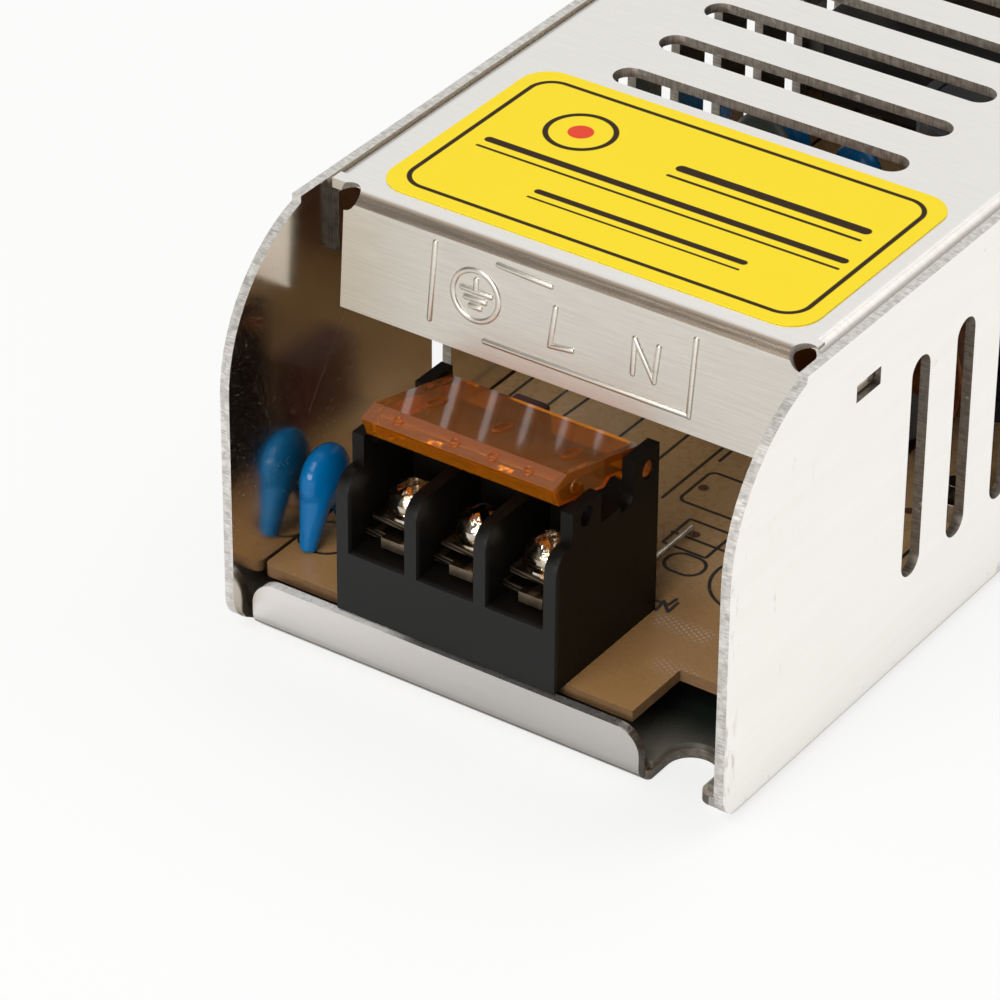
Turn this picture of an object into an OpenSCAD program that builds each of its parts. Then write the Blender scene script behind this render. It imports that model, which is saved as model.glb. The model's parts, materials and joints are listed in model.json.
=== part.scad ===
// LED power supply in a folded aluminium strip case with barrier terminals at both ends.
// Frame: +Z up, origin under the middle of the base, mains end toward -Y, output end toward +Y.

/* [Case] */
// Outside width across the side walls
case_width = 55; // [50:0.5:70]
// Outside length over the side walls
case_length = 214; // [200:1:260]
// Height of the side walls
wall_height = 42; // [40:0.5:60]
// Thickness of the aluminium sheet
sheet = 1.0; // [0.8:0.1:1.4]
// Outside radius of the folds in the base
fold_radius = 1.8; // [1.6:0.1:3]
// Radius of the large round at the upper end corners of the walls
wall_round = 16; // [12:0.5:18]
// Distance of the small step in the wall's top edge from the end
step_back = 11.4; // [9:0.1:12]
// Radius of the lower end corners of the walls
foot_round = 3.2; // [2:0.1:5]
// Height of the walls' lower end corners over the underside
foot_rise = 0.9; // [0.3:0.1:1.2]
// Setback of the floor's end edge from the wall ends
floor_back = 3.1; // [2.6:0.1:4]
// Setback of the outer face of the bent-up end lip
lip_back = 2.0; // [1.5:0.1:2.4]
// Gap between the lip's top edge and the board's top face
lip_drop = 0.25; // [0.2:0.05:1.5]
// Radius of the lip's upper corners
lip_round = 2.6; // [1:0.1:3.2]
// Width of the open mounting notch in the floor
notch_width = 5.1; // [4.3:0.1:5.5]
// Distance of the notch's round end centre from the wall ends
notch_back = 6.15; // [5:0.05:8]
// Radius of the floor's corner between the notch and the wall
notch_round = 1.2; // [0.5:0.1:1.4]
// Distance of the notch's middle from the outside of the side wall
notch_side = 7.15; // [6.5:0.05:8]
// Distance of the end lip from the left wall's outside
lip_side = 1.65; // [1.3:0.05:3]
// Distance of the end lip from the outside of the wall beside the notch
lip_notch_side = 10.2; // [10:0.1:12]

/* [Vents and windows] */
// Width of the upright vents in the side walls
side_vent_width = 3.2; // [2.5:0.1:4]
// Lower end of the upright vents
side_vent_low = 10.5; // [9:0.5:14]
// Upper end of the upright vents
side_vent_high = 34.1; // [28:0.1:34.2]
// Number of upright vents in each side wall
side_vents = 20; // [6:1:20]
// Distance of the first upright vent from the mains end
side_vent_start = 31.4; // [28:0.1:40]
// Offset of the left wall's upright vents toward the output end
left_vent_shift = 2.2; // [-2.5:0.1:2.5]
// Pitch of all vents
vent_pitch = 8.0; // [6:0.1:8.1]
// Width of the cross vents in the cover
top_vent_width = 3.4; // [2.5:0.1:4]
// Length of the cross vents in the cover
top_vent_length = 32; // [20:0.5:36]
// Number of cross vents in the cover
top_vents = 16; // [4:1:16]
// Distance of the first cross vent from the mains end
top_vent_start = 47.2; // [44:0.1:55]
// Length of the lug windows in the side walls
window_length = 4.1; // [3:0.1:6]
// Height of the lug windows
window_height = 1.85; // [1.5:0.05:2.5]
// Lower edge of the lug windows
window_low = 34.9; // [34.6:0.1:37]
// Distance of the lug windows from the wall ends
window_back = 20; // [17:0.5:24]

/* [Cover] */
// Rise of the cover's top face over the wall tops
cover_rise = 0.3; // [0.1:0.1:1]
// Depth of the cover's side flanges
flange_depth = 7.9; // [7.6:0.1:9]
// Outside radius of the folds along the cover's sides
cover_fold = 1.6; // [1.5:0.1:2.5]
// Outside radius of the fold over the end flap
flap_fold = 1.5; // [1.5:0.1:2.5]
// Distance of the end flap's outer face from the wall ends
flap_back = 13.9; // [13:0.1:16]
// Length of the end flap below its fold
flap_drop = 10.4; // [8:0.1:12]
// Outward lean of the end flap in degrees
flap_lean = 4; // [0:0.5:6]
// Mean gap between the end flap's sides and the walls
flap_gap = 2.1; // [1.5:0.1:4]
// Sideways offset of the end flap from the middle
flap_shift = 0.85; // [-0.9:0.05:0.9]
// Radius of the relief holes in the fold at the end flap's sides
relief_radius = 1.35; // [1:0.05:1.5]
// Setback of the cover's side flanges from the end flap's outer face
flange_gap = 1.9; // [1.6:0.1:4]
// Reach of the snap lugs into the lug windows
lug_reach = 0.3; // [0.2:0.1:0.9]
// Clearance of the snap lugs in the lug windows
lug_gap = 0.2; // [0.1:0.05:0.3]
// Gap between the snap lugs and the upper edges of the lug windows
lug_top_gap = 0.6; // [0.2:0.1:0.8]

/* [Label] */
// Width of the label across the case
label_width = 46; // [20:0.5:48]
// Length of the label along the case
label_length = 27.2; // [10:0.1:27.5]
// Thickness of the label film
label_thick = 0.12; // [0.1:0.01:0.3]
// Corner radius of the label
label_round = 3.2; // [1:0.1:6]
// Distance of the label from the mains end
label_back = 16.75; // [16.5:0.05:17]
// Sideways offset of the label from the middle
label_shift = 0.6; // [-0.8:0.1:0.8]

/* [Circuit board] */
// Thickness of the circuit board
board_thick = 1.2; // [1:0.1:1.6]
// Height of the pillars between floor and board
pillar_height = 3.6; // [3:0.1:5]
// Thickness of the insulation film on the floor
film_thick = 0.4; // [0.2:0.05:0.6]
// Gap between the board's sides and the walls
board_gap = 0.2; // [0.1:0.05:0.5]
// Setback of the board's end edges from the wall ends
board_back = 4.4; // [3.8:0.1:5]
// Radius of the board's corners
board_round = 0.8; // [0.3:0.1:2]
// Distance of the board's corner notch from the wall's outside
board_notch_side = 12.5; // [12:0.1:14]
// Depth of the board's corner notch from the wall ends
board_notch_back = 12.3; // [10:0.1:14]
// Distance of the board pillars from the walls' outside
pillar_side = 5.5; // [5:0.1:8]
// Lengthwise place of the two pillars toward the mains end
pillar_mains_y = -57; // [-64:0.5:-56]
// Lengthwise place of the two pillars toward the output end
pillar_output_y = 68; // [64:0.5:70]
// Diameter of the board pillars
pillar_diameter = 5.6; // [5:0.1:6]
// Diameter of the board screws
board_screw = 2.44; // [2:0.01:2.5]
// Length of the board screws below their heads
board_screw_length = 3.8; // [3:0.1:3.9]
// Diameter of the board screws' heads
board_screw_head = 5.4; // [4.5:0.1:6]
// Height of the board screws' heads
board_screw_rise = 2; // [1.5:0.1:2.5]
// Setback of the insulation film from the wall ends
film_back = 4.2; // [4:0.1:6]
// Gap between the insulation film and the folds in the base
film_gap = 0.3; // [0.1:0.1:1]

/* [Terminal blocks] */
// Pitch of the terminals
pitch = 7.62; // [7.5:0.01:8.25]
// Thickness of the ribs between the terminals
rib = 1.3; // [1.1:0.05:1.5]
// Depth of the block from front to back
block_depth = 16.7; // [16.5:0.1:18]
// Setback of the block's front from the wall ends
block_back = 2.5; // [2.4:0.1:4]
// Height of the bay floor over the board
bay_floor = 6.5; // [6:0.1:7]
// Depth of the terminal bay
bay_depth = 10.4; // [10:0.1:11]
// Height of the block's back
block_back_height = 13.9; // [12:0.1:14]
// Height of the ribs
rib_top = 14.6; // [13:0.1:14.7]
// Radius of the ribs' upper front corner
rib_round = 2.2; // [1:0.1:3]
// Height of the front ears on the end walls
front_ear_top = 17.9; // [17.6:0.1:18.5]
// Height of the rear ears on the end walls
rear_ear_top = 18.3; // [18:0.1:19]
// Setback of the lid's pivot from the block's front
pivot_back = 14.9; // [14.7:0.05:15.1]
// Height of the lid's pivot over the board
pivot_up = 16.3; // [16.2:0.05:16.5]
// Diameter of the lid's pivot pins
pivot_pin = 1.8; // [1.5:0.05:2]
// Radial clearance of a turning or sliding pin
running_gap = 0.08; // [0.04:0.01:0.1]
// Setback of the terminal screws from the block's front
screw_back = 6.1; // [6:0.05:6.3]
// Rise of the pads under the contact plates over the bay floor
pad_rise = 0.8; // [0.6:0.1:1]
// Setback of those pads from the block's front
pad_back = 3.6; // [3.4:0.1:4]
// Thickness of the contact plates
plate_thick = 0.8; // [0.6:0.1:0.9]
// Setback of the contact plates from the block's front
plate_back = 2.7; // [2.6:0.1:3]
// Width that a bay has more than its contact plate
plate_gap = 0.2; // [0.1:0.05:0.4]
// Width of the contacts' folded tongues
tongue_width = 2.6; // [2:0.1:3]
// Distance of a tongue's left side from the bay's middle
tongue_side = 0.85; // [0.5:0.05:1.3]
// Setback of the tongues from the block's front
tongue_back = 1.95; // [1.6:0.05:2.4]
// Height of the tongues' folded fronts
tongue_drop = 1.1; // [0.9:0.05:1.4]
// Thickness of the square clamps
clamp_thick = 0.6; // [0.5:0.1:0.9]
// Depth of the square clamps
clamp_depth = 5.6; // [5:0.1:5.8]
// Width that a bay has more than its clamp
clamp_gap = 0.9; // [0.5:0.1:1.5]
// Length of the terminal screws below their clamps
shank_length = 6; // [5:0.1:6.2]
// Height of the screw heads below their domes
head_height = 1.5; // [1.2:0.1:1.8]
// Rise of the screw heads' domes
head_dome = 1.5; // [0.8:0.05:1.6]
// Width of the screw heads' cross recess
recess_width = 0.9; // [0.6:0.05:1]
// Length of the screw heads' cross recess
recess_length = 3.2; // [2.4:0.1:3.4]
// Depth of the screw heads' cross recess
recess_depth = 1.5; // [0.8:0.1:1.6]
// Setback of the end walls' ears from the block's front
ear_back = 2.6; // [2.5:0.1:3]
// Setback of the middle of the gap between the ears
ear_gap_back = 9.85; // [9.6:0.05:10]
// Width of the gap between the ears
ear_gap_width = 5.3; // [5:0.1:5.6]
// Distance of the lid's snaps from its pivot
snap_back = 10; // [9.8:0.1:10.2]
// Rise of the lid's snaps over its pivot
snap_up = 0.3; // [0.1:0.1:0.5]
// Diameter of the snap holes
snap_hole = 2.0; // [1.8:0.1:2.2]
// Diameter of the lid's snaps
snap_bump = 1.4; // [1.2:0.1:1.5]
// Rise of the lid's top over its pivot
lid_top = 1.75; // [1.6:0.05:1.8]
// Distance of the lid's front bevel from its pivot
lid_flat = 11.8; // [11.5:0.05:12]
// Distance of the lid's front edge from its pivot
lid_length = 13.65; // [13.4:0.05:13.7]
// Rise of the lid's front edge over its pivot
lid_edge = 0.58; // [0.4:0.02:0.7]
// Distance of the foot of the lid's front wall from its pivot
lid_foot = 12.25; // [12.1:0.05:12.4]
// Drop of the lid's walls below its pivot
lid_skirt = 1.2; // [1:0.05:1.25]
// Drop of the lid's walls beside its pivot
lid_waist = 0.4; // [0.3:0.05:0.6]
// Distance of the lid's deep walls from its pivot
lid_step = 4.7; // [4.5:0.1:5]
// Gap between the lid and the end walls on each side
lid_gap = 0.3; // [0.25:0.05:0.5]
// Wall thickness of the lid
lid_wall = 1.0; // [0.8:0.05:1.1]
// Angle by which the mains lid stands ajar
mains_lid_angle = 14.5; // [0:0.5:30]
// Angle by which the output lid stands ajar
output_lid_angle = 0; // [0:0.5:30]
// Number of mains terminals
mains_ways = 3; // [2:1:3]
// Number of output terminals
output_ways = 4; // [2:1:4]
// Distance of the mains block from the outside of the wall on its left
mains_block_side = 11.1; // [10:0.1:11.5]
// Distance of the output block from the outside of the wall on its left
output_block_side = 10.3; // [10:0.1:10.5]
// Diameter of the terminal screw's head
head_diameter = 4.8; // [4:0.1:4.8]
// Diameter of the terminal screw's shank
shank_diameter = 2.9; // [2.5:0.05:3]
// Height by which the terminal screws stand loosened
screw_lift = 0.6; // [0.5:0.1:1.8]

/* [Board parts] */
// Least gap between neighbouring parts on the board
part_gap = 0.5; // [0.3:0.1:2]
// Gap between the bridge rectifier and the board's side
bridge_side = 0.8; // [0.5:0.1:2]
// Gap between the transformer core and the board's side
core_side = 0.7; // [0.5:0.1:2]
// Gap between the heatsinks and the board's sides
sink_side = 2.1; // [1:0.1:3]
// Width of the fuse
fuse_width = 4; // [3:0.1:6]
// Length of the fuse
fuse_length = 8.4; // [6:0.1:10]
// Height of the fuse
fuse_height = 8; // [6:0.1:10]
// Length of the wire jumper
jumper_length = 8.4; // [5:0.1:10]
// Diameter of the wire jumper
jumper_diameter = 0.6; // [0.5:0.05:1]
// Width of the film capacitor
film_cap_width = 9; // [6:0.1:11]
// Length of the film capacitor
film_cap_length = 18; // [13:0.1:20]
// Height of the film capacitor
film_cap_height = 16; // [12:0.1:20]
// Outside diameter of the line choke's core
line_choke_diameter = 20; // [16:0.5:21]
// Inside diameter of the line choke's core
line_choke_hole = 11; // [9:0.5:12]
// Thickness of the line choke's core
line_choke_thick = 8; // [6:0.5:9]
// Thickness of the line choke's coils
line_choke_wire = 1.2; // [0.6:0.1:1.6]
// Thickness of the bridge rectifier
bridge_thick = 3.4; // [3:0.1:4]
// Length of the bridge rectifier
bridge_length = 20; // [15:0.1:22]
// Height of the bridge rectifier's body
bridge_height = 15; // [10:0.1:20]
// Diameter of the bulk capacitors
bulk_diameter = 18; // [14:0.5:18.5]
// Height of the bulk capacitors
bulk_height = 30; // [20:0.5:32]
// Diameter of the disc capacitors
disc_diameter = 6.6; // [5:0.1:7]
// Thickness of the disc capacitors
disc_thick = 3.9; // [2.5:0.1:4]
// Height of the disc capacitors' middle over the board
disc_rise = 8.9; // [6:0.1:10]
// Height of the middle of the disc capacitor at the mains end over the board
mains_disc_rise = 6.8; // [5:0.1:9]
// Distance of the disc capacitor at the mains end from the left wall's outside
disc_side = 3.3; // [3.2:0.1:5]
// Setback of the disc capacitor at the mains end from the wall ends
disc_back = 11.4; // [9:0.1:13]
// Lean of the disc capacitor at the mains end in degrees
disc_lean = 0; // [0:0.5:8]
// Turn of the disc capacitor at the mains end in degrees
disc_turn = 0; // [0:1:45]
// Diameter of the inrush thermistor
thermistor_diameter = 10; // [8:0.1:11]
// Thickness of the inrush thermistor
thermistor_thick = 4.2; // [3:0.1:5]
// Height of the inrush thermistor's middle over the board
thermistor_rise = 12; // [9:0.1:16]
// Width of the transformer core
core_width = 28; // [26:0.5:28.5]
// Length of the transformer core
core_length = 30; // [26:0.5:31]
// Height of the transformer core
core_height = 10; // [8:0.5:12]
// Width of the core's middle leg
core_leg = 7; // [6:0.1:8]
// Width of the core's outer legs
core_side_leg = 4.5; // [4:0.1:5]
// Height of the core over the board
core_lift = 6; // [6:0.1:8]
// Wall thickness of the bobbin
bobbin_wall = 0.8; // [0.6:0.05:1.2]
// Thickness of the bobbin's end plates
bobbin_plate = 1.4; // [1:0.1:2]
// Gap between the winding or bobbin plates and the core's outer legs
winding_gap = 0.4; // [0.2:0.05:0.8]
// Thickness of the two heatsinks
sink_thick = 2; // [1.5:0.1:3]
// Length of the two heatsinks
sink_length = 33; // [25:0.5:34]
// Height of the two heatsinks
sink_height = 26; // [20:0.5:30]
// Thickness of the output rectifier
rectifier_thick = 5; // [4:0.1:5.5]
// Thickness of the switching transistor
transistor_thick = 4.5; // [4:0.1:5]
// Outside diameter of the output choke's core
output_choke_diameter = 22; // [18:0.5:23]
// Inside diameter of the output choke's core
output_choke_hole = 12; // [10:0.5:14]
// Thickness of the output choke's core
output_choke_thick = 9; // [7:0.5:10]
// Thickness of the output choke's coil
output_choke_wire = 1.5; // [0.8:0.1:1.8]
// Diameter of the output capacitors
output_can_diameter = 10; // [8:0.5:10.5]
// Height of the output capacitors
output_can_height = 22; // [16:0.5:28]
// Distance of the trimmer's middle from the wall's outside
trimmer_side = 6.2; // [6:0.1:7]
// Setback of the trimmer's middle from the output end
trimmer_back = 14.4; // [14:0.1:16]
// Width of the trimmer
trimmer_width = 6.4; // [5:0.1:6.6]
// Length of the trimmer
trimmer_length = 6.8; // [5:0.1:7]
// Height of the trimmer's body
trimmer_height = 3.6; // [3:0.1:5]
// Thickness of the trimmer's floor under its rotor
trimmer_floor = 1.0; // [0.8:0.1:1.4]
// Diameter of the rotor's pin
rotor_pin = 1.8; // [1.5:0.1:2.2]
// Diameter of the rotor's head
rotor_diameter = 5; // [4:0.1:5.4]
// Height of the rotor's head
rotor_height = 1.6; // [1.2:0.1:2]
// Running gap under the rotor
rotor_lift = 0.3; // [0.2:0.05:0.4]
// Distance of the power light from the wall's outside
led_side = 3.4; // [3.2:0.1:4]
// Setback of the power light from the output end
led_back = 7.4; // [7:0.1:8]
// Radius of the power light
led_radius = 1.5; // [1:0.1:1.6]
// Height of the power light
led_height = 5.1; // [4:0.1:6]

/* [Hidden] */
half_w = case_width / 2;
half_l = case_length / 2;
in_x = half_w - sheet;
inner_fold = max(0.3, fold_radius - sheet);
cover_top = wall_height + cover_rise;
cover_inner = max(0.3, cover_fold - sheet);
flap_inner = max(0.3, flap_fold - sheet);
flange_back = flap_back + flange_gap;
board_low = sheet + pillar_height;
board_top = board_low + board_thick;
board_half = in_x - board_gap;
lip_top = board_top - lip_drop;
lip_left = -(half_w - lip_side);
lip_right = half_w - lip_notch_side;
notch_x = half_w - notch_side;
pad_top = bay_floor + pad_rise;
plate_top = pad_top + plate_thick;
clamp_low = plate_top + screw_lift;
clamp_top = clamp_low + clamp_thick;
bay_width = pitch - rib;
clamp_width = bay_width - clamp_gap;
plate_width = bay_width - plate_gap;
// Case that the board's layout is drawn for
drawn_width = 55;
drawn_length = 214;
kx = case_width / drawn_width;
ky = case_length / drawn_length;
// Overlap of joined solids
eps = 0.01;
// Length by which cutters pass a face
cut = 1;
bridge_x = board_half - bridge_side - bridge_thick / 2;
bulk_x = bridge_x - bridge_thick / 2 - part_gap - bulk_diameter / 2;
bulk_1_y = -34 * ky;
bulk_2_y = bulk_1_y + bulk_diameter + 3 * part_gap;
core_x = -(board_half - core_side - core_width / 2);
core_y = 10 * ky;
core_window = (core_width - core_leg) / 2 - core_side_leg;
window_reach = core_leg / 2 + core_window;
yoke = core_side_leg + part_gap;
coil_width = 2 * (window_reach - winding_gap);
coil_height = core_height + 2 * (core_lift - bobbin_wall - 1.6);
sink_x = board_half - sink_side - sink_thick / 2;
switch_y = 22 * ky;
rectifier_y = core_y + core_length / 2 + part_gap + sink_length / 2;
output_coil_r = output_choke_diameter / 2 + output_choke_wire;
output_choke_x = -sink_x + sink_thick / 2 + rectifier_thick + part_gap + output_coil_r;
output_can_x = output_choke_x + output_coil_r + part_gap + output_can_diameter / 2;
line_coil_r = line_choke_diameter / 2 + line_choke_wire;
line_choke_y = bulk_1_y - bulk_diameter / 2 - line_choke_thick / 2 - line_choke_wire - 2 * part_gap;
metal = [0.86, 0.86, 0.84];
dark = [0.12, 0.12, 0.13];
nickel = [0.8, 0.78, 0.74];
amber = [0.85, 0.42, 0.08];
blue = [0.1, 0.42, 0.7];

// Extrudes a shape drawn in Y and Z along X, centred
module along_x(h) {
    rotate([90, 0, 90])
        linear_extrude(height = h, center = true)
            children();
}

// Extrudes a shape drawn in X and Z along Y, centred
module along_y(h) {
    rotate([90, 0, 0])
        linear_extrude(height = h, center = true)
            children();
}

// Both ends of the case: as drawn and turned half a turn
module both_ends() {
    children();
    rotate([0, 0, 180])
        children();
}

// Upright shape with round ends
module pill(length, width) {
    square([width, length - width], center = true);
    for (s = [-1, 1])
        translate([0, s * (length - width) / 2])
            circle(d = width, $fn = 48);
}

// Trough section: bottom at zero, lower corners rounded
module trough(width, height, r) {
    translate([-width / 2, r])
        square([width, height - r]);
    translate([-width / 2 + r, 0])
        square([width - 2 * r, r + eps]);
    for (s = [-1, 1])
        translate([s * (width / 2 - r), r])
            circle(r = r, $fn = 48);
}

// Quarter of a fold: ring between two radii, from the +Y direction to the -X direction less a lean
module fold_ring(outer, inner, lean) {
    intersection() {
        difference() {
            circle(r = outer, $fn = 64);
            circle(r = inner, $fn = 64);
        }
        polygon([[0, 0], [0, 9], [-9, 9], [-9, 9 * tan(lean)]]);
    }
}

// Rectangle with rounded corners, centred
module rounded(width, length, r) {
    square([width - 2 * r, length], center = true);
    square([width, length - 2 * r], center = true);
    for (sx = [-1, 1])
        for (sy = [-1, 1])
            translate([sx * (width / 2 - r), sy * (length / 2 - r)])
                circle(r = r, $fn = 48);
}

// Material taken off outside the wall's end outline
module end_cut() {
    along_x(case_width + 2 * cut)
        difference() {
            translate([-half_l - cut, -cut])
                square([step_back + cut, wall_height + 2 * cut]);
            translate([-half_l + wall_round, wall_height - wall_round])
                circle(r = wall_round, $fn = 96);
            translate([-half_l, foot_rise + foot_round])
                square([step_back + cut, wall_height - wall_round - foot_rise - foot_round]);
            translate([-half_l + foot_round, foot_rise])
                square([step_back, wall_height - wall_round - foot_rise]);
            translate([-half_l + foot_round, foot_rise + foot_round])
                circle(r = foot_round, $fn = 48);
            translate([-half_l + floor_back, -2 * cut])
                square([step_back, 2 * foot_rise + 2 * cut]);
        }
    translate([-(half_w - fold_radius), -half_l - cut, -cut])
        cube([2 * (half_w - fold_radius), floor_back + cut, sheet + 1.5 * cut]);
}

// Bent-up lip at one end of the floor
module end_lip() {
    mid = (lip_left + lip_right) / 2;
    difference() {
        translate([mid, -half_l + lip_back, 0])
            along_x(lip_right - lip_left)
                union() {
                    translate([0, fold_radius - eps])
                        square([sheet, lip_top - fold_radius + eps]);
                    translate([fold_radius, fold_radius])
                        mirror([0, 1])
                            fold_ring(fold_radius, inner_fold, 0);
                    translate([fold_radius - eps, 0])
                        square([2 * fold_radius, sheet]);
                }
        for (s = [-1, 1])
            translate([s > 0 ? lip_right : lip_left, -half_l + lip_back + sheet / 2, lip_top])
                along_y(sheet + 2 * inner_fold / 3)
                    difference() {
                        translate([s > 0 ? -lip_round : -cut, -lip_round])
                            square([lip_round + cut, lip_round + cut]);
                        translate([-s * lip_round, -lip_round])
                            circle(r = lip_round, $fn = 48);
                    }
    }
}

// Waste outside a rounded corner at the origin, whose material lies toward +X and +Y
module corner_waste(r) {
    difference() {
        translate([-eps, -eps])
            square(r + eps);
        translate([r, r])
            circle(r = r, $fn = 48);
    }
}

// Open mounting notch, one at each end
module mount_notch(depth, width) {
    translate([notch_x, -half_l, -cut])
        linear_extrude(height = depth + 2 * cut) {
            translate([0, notch_back])
                circle(d = width, $fn = 64);
            translate([-width / 2, -cut])
                square([width, notch_back + cut]);
            translate([width / 2, floor_back])
                corner_waste(notch_round);
            translate([-width / 2, floor_back])
                mirror([1, 0])
                    corner_waste(notch_x - notch_width / 2 - lip_right);
        }
}

module base_shell() {
    color(metal)
        difference() {
            union() {
                difference() {
                    along_y(case_length)
                        difference() {
                            trough(case_width, wall_height, fold_radius);
                            translate([0, sheet])
                                trough(case_width - 2 * sheet, wall_height, inner_fold);
                        }
                    both_ends()
                        end_cut();
                }
                both_ends()
                    end_lip();
            }
            both_ends()
                mount_notch(sheet, notch_width);
            for (s = [-1, 1])
                translate([s * half_w, s > 0 ? 0 : left_vent_shift, (side_vent_low + side_vent_high) / 2])
                    along_x(2 * sheet + 2 * cut)
                        for (i = [0 : side_vents - 1])
                            translate([-half_l + side_vent_start + i * vent_pitch, 0])
                                pill(side_vent_high - side_vent_low, side_vent_width);
            both_ends()
                translate([0, -half_l + window_back, window_low])
                    translate([-half_w - cut, 0, 0])
                        cube([case_width + 2 * cut, window_length, window_height]);
        }
}

// End flap with its fold, drawn at the mains end
module end_flap() {
    translate([flap_shift, 0, 0])
        along_x(2 * (in_x - flap_gap))
            translate([-half_l + flap_back + flap_fold, cover_top - flap_fold]) {
                fold_ring(flap_fold, flap_inner, flap_lean);
                rotate(-flap_lean)
                    translate([-flap_fold, -flap_drop])
                        square([sheet, flap_drop]);
            }
    reach = in_x - cover_inner;
    translate([-reach, -half_l + flap_back + flap_fold - eps, cover_top - sheet])
        cube([2 * reach, flange_gap - flap_fold + sheet, sheet]);
}

module top_cover() {
    color(metal)
        difference() {
            union() {
                along_y(case_length - 2 * flange_back)
                    translate([0, cover_top])
                        mirror([0, 1])
                            difference() {
                                trough(2 * in_x, flange_depth, cover_fold);
                                translate([0, sheet])
                                    trough(2 * (in_x - sheet), flange_depth, cover_inner);
                            }
                both_ends()
                    end_flap();
                both_ends()
                    for (s = [-1, 1])
                        translate([s > 0 ? in_x - lug_gap : -in_x - lug_reach,
                                   -half_l + window_back + lug_gap, window_low + lug_gap])
                            cube([lug_reach + lug_gap, window_length - 2 * lug_gap,
                                  window_height - lug_gap - lug_top_gap]);
            }
            both_ends()
                for (s = [-1, 1])
                    translate([flap_shift + s * (in_x - flap_gap), -half_l + flap_back + flap_fold,
                               cover_top - flap_fold])
                        rotate([45, 0, 0])
                            translate([0, 0, -flap_inner])
                                cylinder(r = relief_radius, h = 3 * flap_fold, $fn = 48);
            for (i = [0 : top_vents - 1])
                translate([0, -half_l + top_vent_start + i * vent_pitch, cover_top - sheet - cut])
                    rotate([0, 0, 90])
                        linear_extrude(height = sheet + 2 * cut)
                            pill(top_vent_length, top_vent_width);
        }
}

module face_label() {
    color([0.97, 0.86, 0.14])
        translate([label_shift, -half_l + label_back + label_length / 2, cover_top])
            linear_extrude(height = label_thick)
                rounded(label_width, label_length, label_round);
}

// Places of the four board pillars
module at_pillars() {
    for (sx = [-1, 1])
        for (y = [pillar_mains_y, pillar_output_y])
            translate([sx * (half_w - pillar_side), y * ky, 0])
                children();
}

module insulation_film() {
    reach = half_w - fold_radius - film_gap;
    color([0.2, 0.24, 0.22])
        translate([0, 0, sheet])
            difference() {
                translate([-reach, -half_l + film_back, 0])
                    cube([2 * reach, case_length - 2 * film_back, film_thick]);
                both_ends()
                    mount_notch(film_thick, notch_width + 2 * film_thick);
                at_pillars()
                    translate([0, 0, -cut])
                        cylinder(d = pillar_diameter + 2 * film_thick, h = film_thick + 2 * cut, $fn = 48);
            }
}

module circuit_board() {
    color([0.62, 0.47, 0.28])
        translate([0, 0, board_low])
            difference() {
                linear_extrude(height = board_thick)
                    rounded(2 * board_half, case_length - 2 * board_back, board_round);
                both_ends()
                    translate([half_w - board_notch_side, -half_l, -cut])
                        cube([board_notch_side, board_notch_back, board_thick + 2 * cut]);
                at_pillars()
                    translate([0, 0, -cut])
                        cylinder(d = board_screw + 0.76, h = board_thick + 2 * cut, $fn = 48);
            }
}

module board_pillars() {
    color(nickel)
        at_pillars()
            translate([0, 0, sheet])
                difference() {
                    cylinder(d = pillar_diameter, h = pillar_height, $fn = 48);
                    translate([0, 0, pillar_height - 0.2 - (board_screw_length - board_thick)])
                        cylinder(d = board_screw + 0.06, h = pillar_height, $fn = 48);
                }
}

module board_screws() {
    color(nickel)
        at_pillars()
            translate([0, 0, board_top]) {
                difference() {
                    cylinder(d = board_screw_head, h = board_screw_rise, $fn = 48);
                    for (a = [0, 90])
                        rotate([0, 0, a])
                            translate([0, 0, board_screw_rise / 2])
                                standing_box(0.56 * board_screw_head, 0.13 * board_screw_head,
                                             board_screw_rise);
                }
                translate([0, 0, -board_screw_length])
                    cylinder(d = board_screw, h = board_screw_length + eps, $fn = 48);
            }
}

// Side view of a rib between two terminals
module rib_outline() {
    square([bay_depth + eps, rib_top - rib_round]);
    translate([rib_round, 0])
        square([bay_depth - rib_round + eps, rib_top]);
    translate([rib_round, rib_top - rib_round])
        circle(r = rib_round, $fn = 48);
}

// Side view of an end wall with its front and rear ears
module end_outline() {
    rib_outline();
    square([block_depth, bay_floor]);
    difference() {
        translate([ear_back, 0])
            square([block_depth - ear_back, rear_ear_top]);
        translate([ear_gap_back, block_back_height])
            trough(ear_gap_width, rear_ear_top, 0.19 * ear_gap_width);
        translate([0, front_ear_top])
            square([ear_gap_back - ear_gap_width / 2 + eps, rear_ear_top]);
    }
}

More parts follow.
